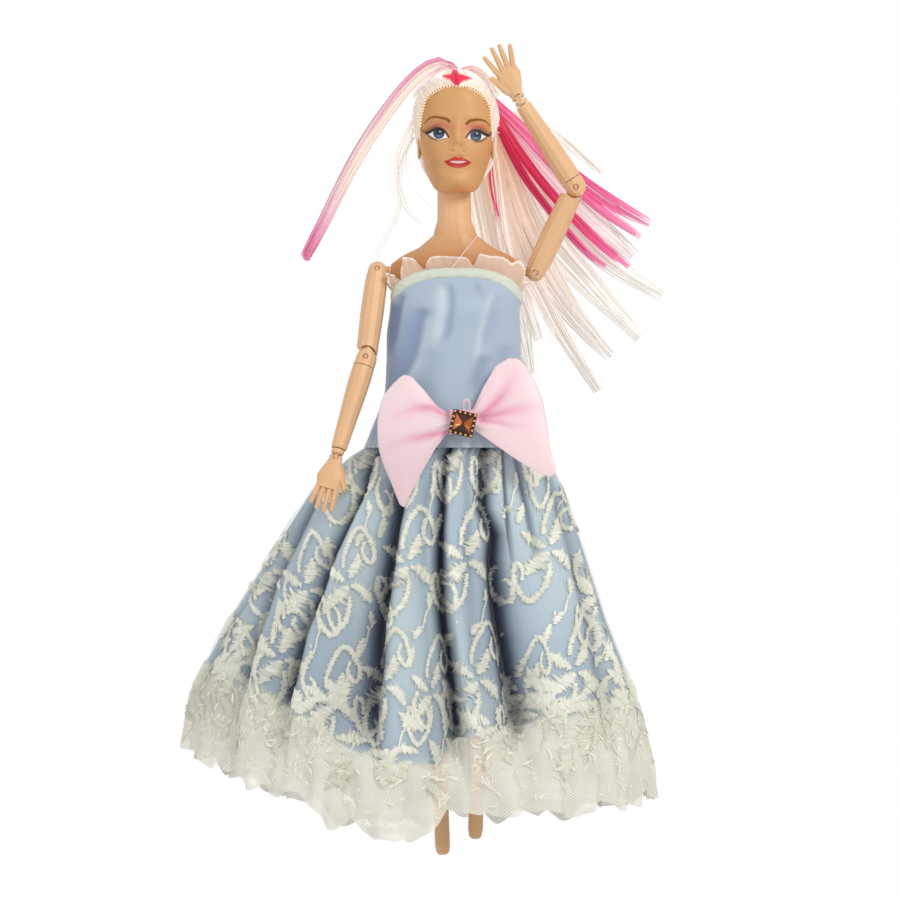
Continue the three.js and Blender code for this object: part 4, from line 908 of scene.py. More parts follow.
CREASES = [
    ([(448.4, 283), (451, 291), (451, 309), (448, 332), (441, 348)], 0.75, 1.5),
    ([(442, 286), (441, 310), (437, 335), (434, 350)], -0.55, 2.6),
    ([(475.8, 281), (479, 290), (484, 300)], 0.6, 1.3),
    ([(492.4, 292), (485, 316), (480, 334), (477, 352), (474, 372)], -0.4, 1.6),
    ([(499, 292), (492, 320), (486, 350)], 0.35, 3.2),
    ([(422, 308), (417, 334), (412, 355), (403, 372), (394, 390), (384, 408)], 1.1, 3.0),
    ([(426, 316), (422, 340), (417, 360), (404, 384), (394, 402)], -0.55, 2.2),
    ([(401.5, 294), (398, 312), (394, 334), (391, 352)], 1.3, 1.8),
    ([(404, 296), (401, 316), (398, 340), (395, 360)], -0.5, 1.5),
    ([(484, 356), (478, 380), (473, 398)], 0.8, 3.0),
    ([(505, 345), (503, 380), (500, 410)], 0.35, 4.0),
    ([(432, 350), (428, 380), (426, 400)], 0.3, 4.0),
    ([(378, 425), (374, 440)], 0.9, 2.0), ([(536, 440), (540, 446)], 0.6, 2.0),
]


def neckline(turn):
    """Level of the gown's upper edge round the torso."""
    return 36.7 - 9 * np.abs(np.cos(turn)) ** 2.4 - 5 * np.maximum(0, np.sin(turn))


BAND_HEIGHT = 4.3
BODICE_LAP = 0.9
BODICE_SMOOTH = spline(BODICE_ROWS, 60)
# Mean distance of the bodice from the middle of the torso
BODICE_REACH = 25
# Picture places of the painted shade on the bodice's left side
BODICE_SHADE_LINE = [(393, 308), (391, 330), (389, 350)]
BODICE_SHADE_AREA = [(424, 300), (417, 345), (396, 392), (372, 440), (366, 380), (384, 290)]
# Section of the folded binding: share of its height, and how far it stands out from the torso
BAND_SECTION = [
    (1.0, 0.3), (1.03, 0.9), (0.98, 1.45), (0.78, 1.65), (0.52, 1.7), (0.24, 1.65), (0.04, 1.45), (-0.03, 0.9),
    (0.02, 0.4),
]


def torso_out(turns, level, gap, out):
    """Points beside the torso: at a gap from its sections, and standing out from there."""
    foot, far = (section_point(TORSO_ROWS, turns, level, grow) for grow in (gap, gap + 1))
    return foot + unit(far - foot) * out[:, None]


def make_bodice():
    columns, rows = 420, 120
    turns = np.linspace(-math.pi, math.pi, columns, endpoint=False)
    foot = SEAM_Z - BODICE_LAP
    levels = foot + (neckline(turns) - BAND_HEIGHT + 0.5 - foot) * np.linspace(0, 1, rows)[:, None]
    turn, level = np.broadcast_to(turns, levels.shape).reshape(-1), levels.reshape(-1)
    points = section_point(BODICE_SMOOTH, turn, level)
    seen = project(points)
    front = smooth(-points[:, 1], -2, 4)
    inward = np.zeros(len(points))
    for line, depth, width in CREASES:
        gap = polyline_distance(seen, line) * MM_PER_UNIT
        top_end, low_end = line[0][1], line[-1][1]
        fade = smooth(seen[:, 1], top_end - 4, top_end + 6) * smooth(-seen[:, 1], -low_end - 4, 18 - low_end)
        inward += 0.9 * depth * np.exp(-((gap / width) ** 2)) * front * fade
    rear = 1 - front
    inward += rear * 0.5 * np.sin(turn * 13 + level / 9) * smooth(-level, -30, 20)
    # Gathers over the seam of the skirt
    inward += np.exp((foot - level) / 2.2) * (0.35 * (np.sin(turn * 48) - 1.2) * front + 1.4 * rear)
    centre = np.stack([row_at(BODICE_ROWS, level)[3], 0 * level, level], 1)
    points = points - unit(points - centre) * inward[:, None]
    made = mesh_object("bodice_cloth", points, grid_faces(rows, columns, True), SATIN_FINISH)
    # Painted shade in the creases and painted highlights on the rises, then painted shade along the left side and over
    # its lower part
    colour = mix(tint("#A9BCCD"), tint("#627AA0"), np.clip(inward * 0.6, 0, 0.7))
    colour = mix(colour, tint("#CFDCE4"), np.clip(-inward * 1.4, 0, 0.8))
    side_shade = bell(polyline_distance(seen, BODICE_SHADE_LINE), 0, 5) * front
    colour = mix(colour, tint("#4C68A4"), side_shade * 0.75)
    lower_left_shade = smooth(-inside_distance(seen, BODICE_SHADE_AREA), -9, 8) * front * smooth(seen[:, 1], 296, 335)
    paint(made, mix(colour, tint("#7F94BC"), lower_left_shade * 0.6))
    lay_cloth(made, turn * BODICE_REACH, level, 0)
    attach(made, "torso")
    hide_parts("bodice", "closure_strip")


def make_band():
    columns = 300
    turns = np.linspace(-math.pi, math.pi, columns, endpoint=False)
    rings = []
    for share, out in BAND_SECTION:
        level = neckline(turns) - BAND_HEIGHT * (1 - share) + 0.05 * np.sin(turns * 40)
        rings.append(torso_out(turns, level, 0.4, out + 0.05 * np.sin(turns * 29 + share * 3) + 0.1))
    made = mesh_object("neckline_binding", np.vstack(rings), grid_faces(len(rings), columns, True, flip=True),
                       BAND_FINISH)
    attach(made, "torso")
    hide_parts("neckline_band")


# Ruffle: the top edge's places in the picture and how far it stands out, in mm
RUFFLE_TOP = [
    (383, 275, 3.0), (388, 273, 4.2), (393, 275, 2.2), (399, 281, 0.6), (403, 266, 2.2), (407, 257, 3.8),
    (417, 258, 3.2), (423, 266, 1.2), (426, 270, 0.4), (430, 264, 2.0), (434, 257, 3.4), (443, 255.6, 2.4),
    (453, 256.5, 3.6), (464, 257, 2.2), (469, 263, 0.8), (472, 267, 0.4), (473.4, 258, 2.6), (475, 253.3, 3.8),
    (485, 255.8, 2.4), (497.5, 257, 3.4), (507, 260.5, 2.2), (512.8, 263.5, 0.8), (516.6, 260.3, 3.2),
    (524.3, 266.7, 3.6), (530.7, 275, 2.0), (533, 283, 3.0),
]
# Half width and front depth of the torso where the ruffle stands
RUFFLE_HALF, RUFFLE_DEEP = 29.5, 12.5


def make_ruffle():
    knots = []
    for across, down, away in RUFFLE_TOP:
        y = -10.0
        for _ in range(5):
            x, _, z = place(across, down, y)
            c = min(max(x / RUFFLE_HALF, -0.995), 0.995)
            y = -RUFFLE_DEEP * math.sqrt(1 - c * c)
        turn = -math.acos(c)
        knots.append((turn, z - float(neckline(turn)), away))
    # Even waves round the back
    for i, turn in enumerate(np.linspace(knots[-1][0] + 0.18, knots[0][0] + TAU - 0.18, 21)):
        knots.append((turn, 5.2, 3.4) if i % 2 else (turn, 2.2, 0.6))
    knots.sort()
    start = knots[0][0]
    knots.append((start + TAU, *knots[0][1:]))
    knots = np.array(knots)
    columns, rows = 620, 14
    turns = np.linspace(start, start + TAU, columns, endpoint=False)
    rise, out = (np.interp(turns, knots[:, 0], knots[:, i]) for i in (1, 2))
    rise = np.convolve(np.concatenate([rise[-2:], rise, rise[:2]]), np.ones(5) / 5, "valid")
    out = np.convolve(np.concatenate([out[-4:], out, out[:4]]), np.ones(9) / 9, "valid")
    rings = []
    shares = np.linspace(-0.18, 1, rows)
    for share in shares:
        level = neckline(turns) + rise * share
        stand = 0.5 + max(share, 0) ** 0.8 * out + 0.35 * max(share, 0) * np.sin(turns * 55)
        ring = torso_out(turns, np.minimum(level, neckline(turns) + 0.5), 0.5, stand)
        ring[:, 2] = level
        rings.append(ring)
    made = mesh_object("neckline_organza", np.vstack(rings), grid_faces(rows, columns, True), ORGANZA_FINISH)
    bright = smooth(np.repeat(shares, columns), 0.84, 0.93)
    paint(made, mix(tint("#FADFCB"), tint("#FFF3EA"), bright))
    lay_cloth(made, 0, 0, 0.64 + 0.34 * bright)
    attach(made, "torso")
    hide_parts("neckline_ruffle")


# Bow: outline columns out from the knot: out, bottom, top, and share of the thickness, with the folds that fan out

BOW_X = 1.2
BOW_WINGS = {
    "bow_wing_right": (-1, [
        [2.5, -25.2, -20.2, 0.75], [5, -27, -18.6, 0.8], [9, -32, -15.8, 0.95], [13.5, -40, -10.2, 1],
        [18, -48.5, -5.2, 1], [20.8, -54.2, -4.4, 1], [22.5, -53, -5.4, 1], [25.5, -45.5, -8.4, 0.9],
        [28.5, -38.5, -12, 0.7], [30.3, -33, -17, 0.45], [30.9, -28, -22, 0.3]],
     [([(450, 416), (431.6, 407.8), (414, 409), (396, 416)], 1.1, 1.3),
      ([(448, 431.4), (430, 436), (410, 440), (390, 446)], 1.0, 1.3),
      ([(455, 412), (436, 402), (414, 391)], 0.3, 1.0)]),
    "bow_wing_left": (1, [
        [2.5, -24, -19, 0.7], [5, -25, -17.5, 0.75], [8.5, -27.5, -9.8, 0.9], [13.5, -31, -1.2, 1],
        [18.5, -34.6, 1.9, 1], [22, -37, 1.6, 1], [24.5, -38.5, -0.8, 1], [28, -40.6, -6.5, 0.9],
        [31, -42, -13.5, 0.7], [32.6, -42.6, -22, 0.5], [33.8, -42.2, -33, 0.35], [35.6, -41.6, -38, 0.25]],
     [([(481, 416), (493, 405), (502.4, 394.8), (514, 373.6)], 1.0, 1.6),
      ([(480, 418), (493, 416), (516.6, 410), (538, 406.6)], 0.9, 1.6),
      ([(481, 420.8), (499, 423.5), (511, 426.7), (524, 427)], 0.6, 1.0)]),
}
BOW_THICK = 3.0
# How far the front and the back of a wing stand out from its middle, as shares of half the thickness
BOW_FRONT, BOW_BACK = 1.25, 0.7


def bow_middle(z):
    """Depth of the middle of the bow at each height."""
    return -26.9 + 0.19 * (z + 20)


def bow_sink(seen, folds):
    """Depth of the folds of a wing's front at picture places."""
    sink = np.zeros(len(seen))
    for line, depth, width in folds:
        gap = polyline_distance(seen, line) * MM_PER_UNIT
        reach = np.linalg.norm(seen - np.array(line[0]), axis=1) * MM_PER_UNIT
        length = math.dist(line[0], line[-1]) * MM_PER_UNIT
        wide = width * (0.8 + 1.1 * reach / length)
        sink += depth * np.exp(-np.abs(gap / wide) ** 1.5) * (1 - 0.75 * smooth(reach, 0.3 * length, length))
    return sink


def make_bow_wing(node, side, table, folds):
    table = np.array(table)
    columns, rows = 84, 90
    n = rows * columns
    outs = np.linspace(table[0, 0], table[-1, 0], columns)
    low, high, thick = (np.interp(outs, table[:, 0], table[:, i]) for i in (1, 2, 3))
    for edge in (low, high, thick):
        edge[1:-1] = (edge[:-2] + 2 * edge[1:-1] + edge[2:]) / 4
    share = np.linspace(0, 1, rows)[:, None]
    z = low + (high - low) * share
    x = BOW_X + side * np.broadcast_to(outs, z.shape)
    puff = BOW_THICK / 2 * np.sin(np.pi * share) ** 0.6 * thick
    front, back = (np.stack([x, bow_middle(z) + out * puff, z], -1).reshape(-1, 3) for out in (-BOW_FRONT, BOW_BACK))
    sink = bow_sink(project(front), folds)
    fan = np.sin(share * math.pi * 7) * bell(outs, table[0, 0], 7) * 0.35
    front[:, 1] += sink + fan.reshape(-1)
    faces = np.vstack([
        grid_faces(rows, columns, False, 0, flip=side < 0), grid_faces(rows, columns, False, n, flip=side > 0),
    ]).tolist()
    ring = (
        [(0, c) for c in range(columns)] + [(r, columns - 1) for r in range(1, rows)]
        + [(rows - 1, c) for c in range(columns - 2, -1, -1)] + [(r, 0) for r in range(rows - 2, 0, -1)]
    )
    index = [r * columns + c for r, c in ring]
    for a, b in zip(index, index[1:] + index[:1]):
        quad = [b, a, a + n, b + n]
        faces.append(quad if side > 0 else quad[::-1])
    points = np.vstack([front, back])
    made = mesh_object(node + "_loop", points, faces, BOW_FINISH)
    # Painted shade: deep pink in the folds and over the back of the wing; the viewer's left wing is painted greyer,
    # most of all down its tail
    deep = np.concatenate([np.clip(sink, 0, 1), np.full(n, 0.4)])
    colour = mix(tint("#EDD6DA" if side < 0 else "#F3D8DD"), tint("#E487A9"), deep * 0.8)
    tail_shade = smooth(-points[:, 2], 18, 46) * (side < 0)
    paint(made, mix(colour, tint("#D9B9C1"), 0.55 * tail_shade))
    lay_cloth(made, points[:, 0], points[:, 2], 0)
    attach(made, "torso")
    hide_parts(node)


def make_knot():
    """The wrap at the middle of the bow, with a small loop that stands up behind the brooch."""
    rows, columns = 26, 40
    points = []
    for t in np.linspace(0, 1, rows):
        squeeze = 1 - 0.1 * math.sin(math.pi * t)
        for c in range(columns):
            a = TAU * c / columns
            pleat = 1 + 0.04 * math.sin(a * 9)
            x = BOW_X + 4.3 * squeeze * pleat * np.sign(math.cos(a)) * abs(math.cos(a)) ** 0.7
            y = -26.2 + 3.6 * pleat * np.sign(math.sin(a)) * abs(math.sin(a)) ** 0.7
            points.append((x, y, -26.9 + 9.2 * t))
    faces = grid_faces(rows, columns, True).tolist()
    faces.append(list(range(columns))[::-1])
    faces.append(list(range((rows - 1) * columns, rows * columns)))
    body = mesh_object("bow_knot_wrap", points, faces, BOW_FINISH)
    paint(body, tint("#EBB6CC"))
    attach(body, "torso")
    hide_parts("bow_knot")
    loop = spline([(2.9, -28.2, -18.8), (2.5, -28.6, -16.6), (2.8, -28.9, -14.9), (3.6, -29.0, -14.2),
                   (4.4, -28.9, -14.9), (4.7, -28.5, -16.8), (4.3, -28.2, -18.8)], 30)
    made = mesh_object("bow_knot_loop", *tube(loop, np.full(30, 0.62), 8), BOW_FINISH)
    paint(made, tint("#DCC2D0"))
    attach(made, "torso")


# Brooch

BROOCH_X = 2.3
BROOCH_Y = -30.3
BROOCH_Z = -22.9
BROOCH_SIDE = 9.2
STONE_SIDE = 6.6
BROOCH_TILT = math.radians(-13)


def brooch_place(points):
    """Points of the tilted brooch, from x across it, y out of it and z up it."""
    x, y, z = np.array(points, float).T
    c, s = math.cos(BROOCH_TILT), math.sin(BROOCH_TILT)
    return np.stack([BROOCH_X + x * c - z * s, BROOCH_Y + y, BROOCH_Z + x * s + z * c], 1)


def blocks(boxes):
    """Points and faces of several boxes: middle, half sizes, and a share by which the front face is smaller."""
    points, faces = [], []
    for (x, y, z), (hx, hy, hz), taper in boxes:
        n = len(points)
        for dy, size in ((hy, 1.0), (-hy, 1 - taper)):
            for dx, dz in ((-1, -1), (1, -1), (1, 1), (-1, 1)):
                points.append((x + dx * hx * size, y + dy, z + dz * hz * size))
        faces += [[n, n + 3, n + 2, n + 1], [n + 4, n + 5, n + 6, n + 7]]
        for k in range(4):
            a, b = n + k, n + (k + 1) % 4
            faces.append([a, b, b + 4, a + 4])
    return points, faces


def make_brooch():
    half, stone_half = BROOCH_SIDE / 2, STONE_SIDE / 2
    boxes = [((0, -0.5, 0), (half, 0.5, half), 0.03)]
    # The outer frame and the rim of the stone
    rims = ((half - 0.2, -1.1, 0.2, 0.7, half), (stone_half + 0.12, -1.25, 0.12, 0.9, stone_half + 0.2))
    for at, y, thin, deep, long in rims:
        for sign in (-1, 1):
            boxes.append(((sign * at, y, 0), (thin, deep, long), 0.05))
            boxes.append(((0, y, sign * at), (long, deep, thin), 0.05))
    plain = len(boxes)
    # Five claws on each side
    for side in (-half + 0.62, half - 0.62):
        for at in np.linspace(-0.5, 0.5, 5) * (BROOCH_SIDE - 1.7):
            boxes.append(((at, -1.7, side), (0.36, 0.75, 0.5), 0.35))
            boxes.append(((side, -1.7, at), (0.5, 0.75, 0.36), 0.35))
    points, faces = blocks(boxes)
    made = mesh_object("brooch_setting_metal", brooch_place(points), faces, GOLD_FINISH, False)
    colour = np.tile(tint("#5C3315"), (len(points), 1))
    colour[plain * 8:] = tint("#F3D5A2")
    paint(made, colour)
    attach(made, "torso")
    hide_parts("brooch_setting")
    # The stone: a square cut with a girdle, a bevel and four steep facets that nearly meet
    rings = [(share * stone_half, y) for share, y in ((1, -1.5), (1, -2.1), (0.9, -2.6), (0.1, -4.2))]
    corners = [(1, 1), (-1, 1), (-1, -1), (1, -1)]
    # Each facet is painted by how light falls on it: painted shade on the top and bottom facets, painted light on the
    # left one, and the right one between
    facet_shading = ["#421B08", "#C9692A", "#3A1607", "#A9501B"]
    points, faces, colours = [], [], []
    for (low, low_y), (high, high_y) in zip(rings, rings[1:]):
        for k in range(4):
            (ax, az), (bx, bz) = corners[k], corners[(k + 1) % 4]
            n = len(points)
            points += [(ax * low, low_y, az * low), (bx * low, low_y, bz * low), (bx * high, high_y, bz * high),
                       (ax * high, high_y, az * high)]
            faces.append([n, n + 1, n + 2, n + 3])
            colours += [tint(facet_shading[k])] * 4
    # A gleam on the left and the right facet
    for way, width, code in ((-1, 0.3, "#FFD9A0"), (1, 0.16, "#F0A868")):
        n = len(points)
        for share, side in ((0.15, -1), (0.85, -1), (0.85, 1), (0.15, 1)):
            out = stone_half * (0.88 - 0.72 * share)
            points.append((way * out, -2.68 - 1.5 * share, -0.5 * out + side * width * (1.2 - share)))
        faces.append([n, n + 1, n + 2, n + 3] if way < 0 else [n + 3, n + 2, n + 1, n])
        colours += [tint(code)] * 4
    stone = mesh_object("brooch_stone_cut", brooch_place(points), faces, AMBER_FINISH, False)
    paint(stone, np.array(colours))
    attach(stone, "torso")
    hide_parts("brooch_stone")


def make_gown():
    make_bodice()
    make_satin_skirt()
    make_lace_skirt()
    make_embroidery()
    make_flecks()
    make_band()
    make_ruffle()
    for node, (side, table, folds) in BOW_WINGS.items():
        make_bow_wing(node, side, table, folds)
    make_knot()
    make_brooch()


make_gown()


# Head

CHIN_Z = 65.8
HEAD_HEIGHT = 46.8
HEAD_HALF = 14.6
HEAD_X = -0.2
HEAD_POWER = 2.15
FACE_TOP = 33.5
HEAD_SHAPE = np.array([
    [0, 0.45, 0.22, 0.22, -0.62], [0.04, 0.575, 0.5, 0.7, -0.4], [0.108, 0.69, 0.78, 0.7, -0.18],
    [0.188, 0.79, 0.98, 0.8, 0], [0.264, 0.86, 1.02, 0.95, 0], [0.38, 0.95, 1.02, 1.05, 0],
    [0.52, 1.02, 1.0, 1.13, 0], [0.64, 1, 0.99, 1.15, 0], [0.76, 0.93, 0.95, 1.1, 0],
    [0.86, 0.79, 0.84, 0.97, 0], [0.93, 0.6, 0.66, 0.78, 0], [0.98, 0.33, 0.37, 0.45, 0], [1, 0.05, 0.06, 0.07, 0],
])
HEAD_SMOOTH = spline(HEAD_SHAPE, 120)
# Rises and hollows of the face: x, z, size, width, height, all in mm
FACE_FORMS = [
    (-6.9, 89.6, -1.2, 4.2, 2.9), (7.3, 89.0, -1.2, 4.2, 2.9), (-6.9, 89.0, 0.6, 2.7, 1.9), (7.4, 88.5, 0.6, 2.7, 1.9),
    (0.25, 90.5, 0.6, 1.7, 4.5), (0.25, 86.3, 0.95, 1.7, 2.8), (0.25, 84.4, 1.05, 1.8, 1.8),
    (-1.95, 83.8, 0.35, 1.0, 1.3), (2.45, 83.8, 0.35, 1.0, 1.3), (0.3, 79.7, 0.35, 3.4, 1.0),
    (0.3, 76.9, 0.45, 3.2, 1.1), (0.3, 78.3, -0.25, 4.2, 0.5), (0.3, 74.2, -0.5, 4.5, 1.4), (0.3, 69.6, 1.0, 4.4, 2.8),
    (-8.3, 81.5, 0.6, 4.2, 4.2), (8.8, 81.5, 0.6, 4.2, 4.2), (-6.4, 94.2, 0.35, 4.5, 1.6), (7.1, 93.8, 0.35, 4.5, 1.6),
]


def head_section(level):
    """Half width, front and back depth, and depth of the middle, of the head at each level."""
    share = np.clip((level - CHIN_Z) / HEAD_HEIGHT, 0, 1)
    return [np.interp(share, HEAD_SMOOTH[:, 0], HEAD_SMOOTH[:, i]) * HEAD_HALF for i in range(1, 5)]


def head_point(turn, level, grow=0.0):
    wide, front, back, middle = head_section(level)
    c, s = np.cos(turn), np.sin(turn)
    deep = np.where(s < 0, front, back)
    x = HEAD_X + (wide + grow) * np.sign(c) * np.abs(c) ** (2 / HEAD_POWER)
    y = middle + (deep + grow) * np.sign(s) * np.abs(s) ** (2 / HEAD_POWER)
    return np.stack([x, y, np.broadcast_to(level, x.shape)], -1)


def face_relief(points):
    """How far the forms of the face stand out."""
    rise = np.zeros(len(points))
    for x, z, size, width, height in FACE_FORMS:
        rise += size * bell(points[:, 0], x, width) * bell(points[:, 2], z, height)
    return rise * smooth(-points[:, 1], 1, 7)


def head_levels(rows_low, rows_high):
    """Even levels over the face, then closer and closer ones up to the crown."""
    low = CHIN_Z + 0.02 + np.linspace(0, FACE_TOP, rows_low)
    left = (1 - FACE_TOP / HEAD_HEIGHT) * (1 - np.linspace(0, 1, rows_high + 1)[1:]) ** 1.6
    return np.concatenate([low, CHIN_Z + HEAD_HEIGHT * (1 - left)])


def head_turns(front, rear):
    """Turns round the head, with more of them on the face."""
    a = np.linspace(-math.pi / 2 - 1.2, -math.pi / 2 + 1.2, front)
    b = np.linspace(-math.pi / 2 + 1.2, 1.5 * math.pi - 1.2, rear + 2)[1:-1]
    return np.concatenate([a, b])


class Painter:
    """Colours laid over each other on points that are seen at places of the picture."""

    def __init__(self, seen, colour):
        self.seen = seen
        self.colour = np.tile(tint(colour), (len(seen), 1))
        self.clip = np.ones(len(seen))

    def lay(self, cover, code):
        self.colour = mix(self.colour, tint(code), np.clip(cover, 0, 1) * self.clip)

    def spot(self, centre, width, height, code, strength=1.0, edge=None):
        gap = np.hypot((self.seen[:, 0] - centre[0]) / width, (self.seen[:, 1] - centre[1]) / height)
        cover = np.exp(-(gap**2)) if edge is None else 1 - smooth(gap * width, width - edge, width + edge)
        self.lay(strength * cover, code)

    def line(self, points, widths, code, strength=1.0, edge=0.45):
        gap = polyline_distance(self.seen, points, widths)
        self.lay(strength * (1 - smooth(gap, -edge, edge)), code)

    def area(self, outline, code, strength=1.0, edge=0.4):
        self.lay(strength * (1 - smooth(inside_distance(self.seen, outline), -edge, edge)), code)


LASHES = 15
EYES = [
    dict(iris=(438.8, 133.2), pupil=(438.9, 132.4), light=(440.0, 131.6), out=-1,
         upper=[(426.8, 133.3), (429.6, 132.2), (433.2, 130.0), (439, 128.6), (443, 130), (446.6, 133.4), (448.6, 137)],
         lower=[(445.2, 138.3), (439, 139.8), (434.5, 138.6), (430.5, 136.0)],
         shadow=((440, 126.4), 11, 4.4), spot=(440.5, 127.2), smudge=[(427.2, 134.8), (431.0, 138.2), (437, 140.2)],
         brow=[(425.1, 122.9), (427.4, 120), (430.9, 117.6), (435.4, 116.9), (440.8, 117.6), (446.1, 118.9),
               (449.2, 121.2)]),
    dict(iris=(475.8, 135.9), pupil=(475.8, 134.4), light=(477.0, 133.4), out=1,
         upper=[(466.2, 137.4), (468.9, 133.4), (472, 130.9), (475.8, 130.2), (480, 131.5), (484.6, 134.3),
                (488.2, 135.9)],
         lower=[(483.6, 138.4), (480.0, 140.3), (475.4, 141.4), (470.2, 139.4)],
         shadow=((477, 128.0), 11, 4.2), spot=(476.5, 128.9), smudge=[(474.5, 142.2), (481, 141.4), (487.0, 137.8)],
         brow=[(489.9, 125.9), (487.2, 122.7), (483.6, 120.5), (478.3, 119.6), (473.3, 120.2), (469.3, 121.2),
               (467.0, 123.5)]),
]


def paint_eye(p, eye):
    out = eye["out"]
    upper, lower = np.array(eye["upper"]), np.array(eye["lower"])
    outline = np.vstack([upper, lower])
    (x, y), lid = eye["iris"], len(upper)
    p.spot(*eye["shadow"], "#C75F4E", 0.95)
    # Painted highlight on the lid, over the eyeshadow
    p.spot(eye["spot"], 3, 1.2, "#EFC3A0", 0.55)
    p.line(eye["smudge"], [0.9, 1.8, 1.0], "#2E1C1E", 0.75, 0.8)
    p.area(outline, "#F1EEEA", 1.0, 0.5)
    # What follows stays inside the eye
    p.clip = 1 - smooth(inside_distance(p.seen, outline), -0.4, 0.4)
    p.spot((x, y), 5.7, 5.6, "#0D1728", 1.0, 0.5)
    p.spot((x, y), 4.3, 4.3, "#2A4258", 1.0, 0.7)
    p.spot((x, y + 2.6), 3.0, 1.3, "#6B8CA6", 0.8)
    p.spot((x, y - 4.0), 5.0, 2.0, "#111A29", 0.85)
    p.spot(eye["pupil"], 2.5, 2.5, "#07090D", 1.0, 0.4)
    p.spot(eye["light"], 0.8, 0.8, "#DDE8F0", 0.95, 0.35)
    p.line(upper + [0, 1.0], np.full(lid, 1.6), "#5A5048", 0.45, 0.9)
    p.clip = np.ones(len(p.seen))
    # Lid lines, thicker at the outer corner, and lashes
    p.line(upper, np.linspace(2.5, 1.6, lid)[::-out], "#120C0A", 1.0, 0.4)
    p.line(np.vstack([lower, upper[:1]] if out < 0 else [upper[-1:], lower]), np.full(5, 0.5), "#4A2A22", 0.85, 0.5)
    for k, root in enumerate(spline(upper, LASHES)):
        outer = k / (LASHES - 1) if out > 0 else 1 - k / (LASHES - 1)
        lean = out * (0.25 + 0.85 * outer)
        tip = root + (3.6 + 3.0 * outer) * np.array([math.sin(lean), -math.cos(lean)])
        middle = (root + tip) / 2 + [0.35 * out, 0.35]
        p.line([root, middle, tip], [1.4, 1.0, 0.3], "#150E0B", 1.0, 0.35)
    p.line(spline(eye["brow"], 16), np.interp(np.arange(16), [0, 5, 15], [0.9, 2.1, 3.1]), "#87480F", 0.95, 0.5)


def paint_face(points):
    """Colours of the head's points: painted shade and highlights, eyes, nose and lips where the picture shows them."""
    seen = project(points)
    p = Painter(seen, FACE_SKIN)
    # Painted shade on the viewer's left side of the face and along its jaw
    p.lay(0.5 * smooth(-seen[:, 0], -446, -424), "#C8935A")
    p.line([(431, 150), (434, 165), (441, 180)], [3, 5, 4], "#C68E58", 0.4, 4)
    # Painted shade under the chin and a painted highlight on it
    p.spot((460, 189.5), 15, 4.0, "#D4854C", 0.75)
    p.spot((462, 178), 8, 5, "#DDB27A", 0.5)
    # Painted shade on both sides of the bridge of the nose
    p.spot((450.6, 134), 3.2, 7, "#C9814F", 0.55)
    p.spot((465.0, 135.5), 2.6, 6.5, "#CF8C5A", 0.4)
    p.spot((430, 155), 9, 7, "#E09A6C", 0.25)
    p.spot((484, 156), 8, 7, "#E6A277", 0.25)
    for eye in EYES:
        paint_eye(p, eye)
    # Painted highlight on the tip of the nose; painted shade round the nostril wings, in the nostrils and in the groove
    # under the nose
    p.spot((457.0, 146.5), 2.2, 2.6, "#E6BC8E", 0.6)
    for wing, nostril in (([(450.6, 146.5), (450.3, 149.6), (452.3, 151.2)], (453.2, 150.6)),
                          ([(466.6, 146.5), (467.2, 149.6), (465.2, 151.2)], (464.0, 150.8))):
        p.line(wing, [0.5, 0.9, 0.6], "#BD7E50", 0.55, 0.6)
        p.spot(nostril, 1.3, 0.7, "#7A3E22", 0.75)
    p.spot((459, 154), 1.4, 1.8, "#C88A58", 0.5)
    lips = [(443.9, 161.4), (447.4, 159.9), (452.8, 157.3), (455.6, 156.7), (458, 157.6), (460.6, 156.7),
            (465, 158.3), (471.3, 162.5), (468.6, 164.9), (464.4, 167.0), (457.9, 168.1), (452.2, 167.3),
            (447.2, 164.8)]
    p.area(lips, "#C2342E", 1.0, 0.5)
    # Painted highlight along the lower lip
    p.spot((457.9, 166.0), 5, 1.0, "#E0706A", 0.7)
    p.area([(449.7, 161.2), (453.6, 160.7), (457.9, 161.0), (462.4, 160.7), (466.6, 161.5), (463.2, 163.0),
            (457.9, 163.5), (452.6, 162.9)], "#F5CDD2", 1.0, 0.4)
    p.line([(444.4, 161.7), (448.8, 160.9), (457.9, 160.3), (467.4, 161.2), (471, 162.5)], [0.5] * 5, "#8E1D1E", 0.8,
           0.4)
    p.line([(445, 161.9), (451, 163.4), (458, 164.1), (465, 163.4), (470.5, 162.7)], [0.4] * 5, "#A12523", 0.7, 0.4)
    # Painted shade under the lower lip
    p.line([(448, 171.0), (458, 172.2), (467, 170.9)], [2, 3, 2], "#C58F5C", 0.35, 1.5)
    p.colour[points[:, 1] >= 2] = tint(FACE_SKIN)
    return p.colour


def ear_points(side):
    """A shell-shaped ear: points and faces."""
    rows, columns = 18, 22
    points = []
    for r in range(rows):
        t = -1 + 2 * r / (rows - 1)
        wide = math.sqrt(max(0.0, 1 - t * t)) ** 0.8
        for c in range(columns):
            a = TAU * c / columns
            out = 1.15 * math.cos(a) * wide
            dent = -0.75 * math.exp(-((t / 0.5) ** 2)) * max(0, math.cos(a)) ** 6
            x = HEAD_X + side * (14.3 + out * 0.8 + dent)
            y = 2.3 + 2.5 * math.sin(a) * wide * (1 + 0.2 * t) + 0.5 * t
            points.append((x, y, CHIN_Z + 18.4 + 4.7 * t))
    return np.array(points), grid_faces(rows, columns, True, flip=side < 0)


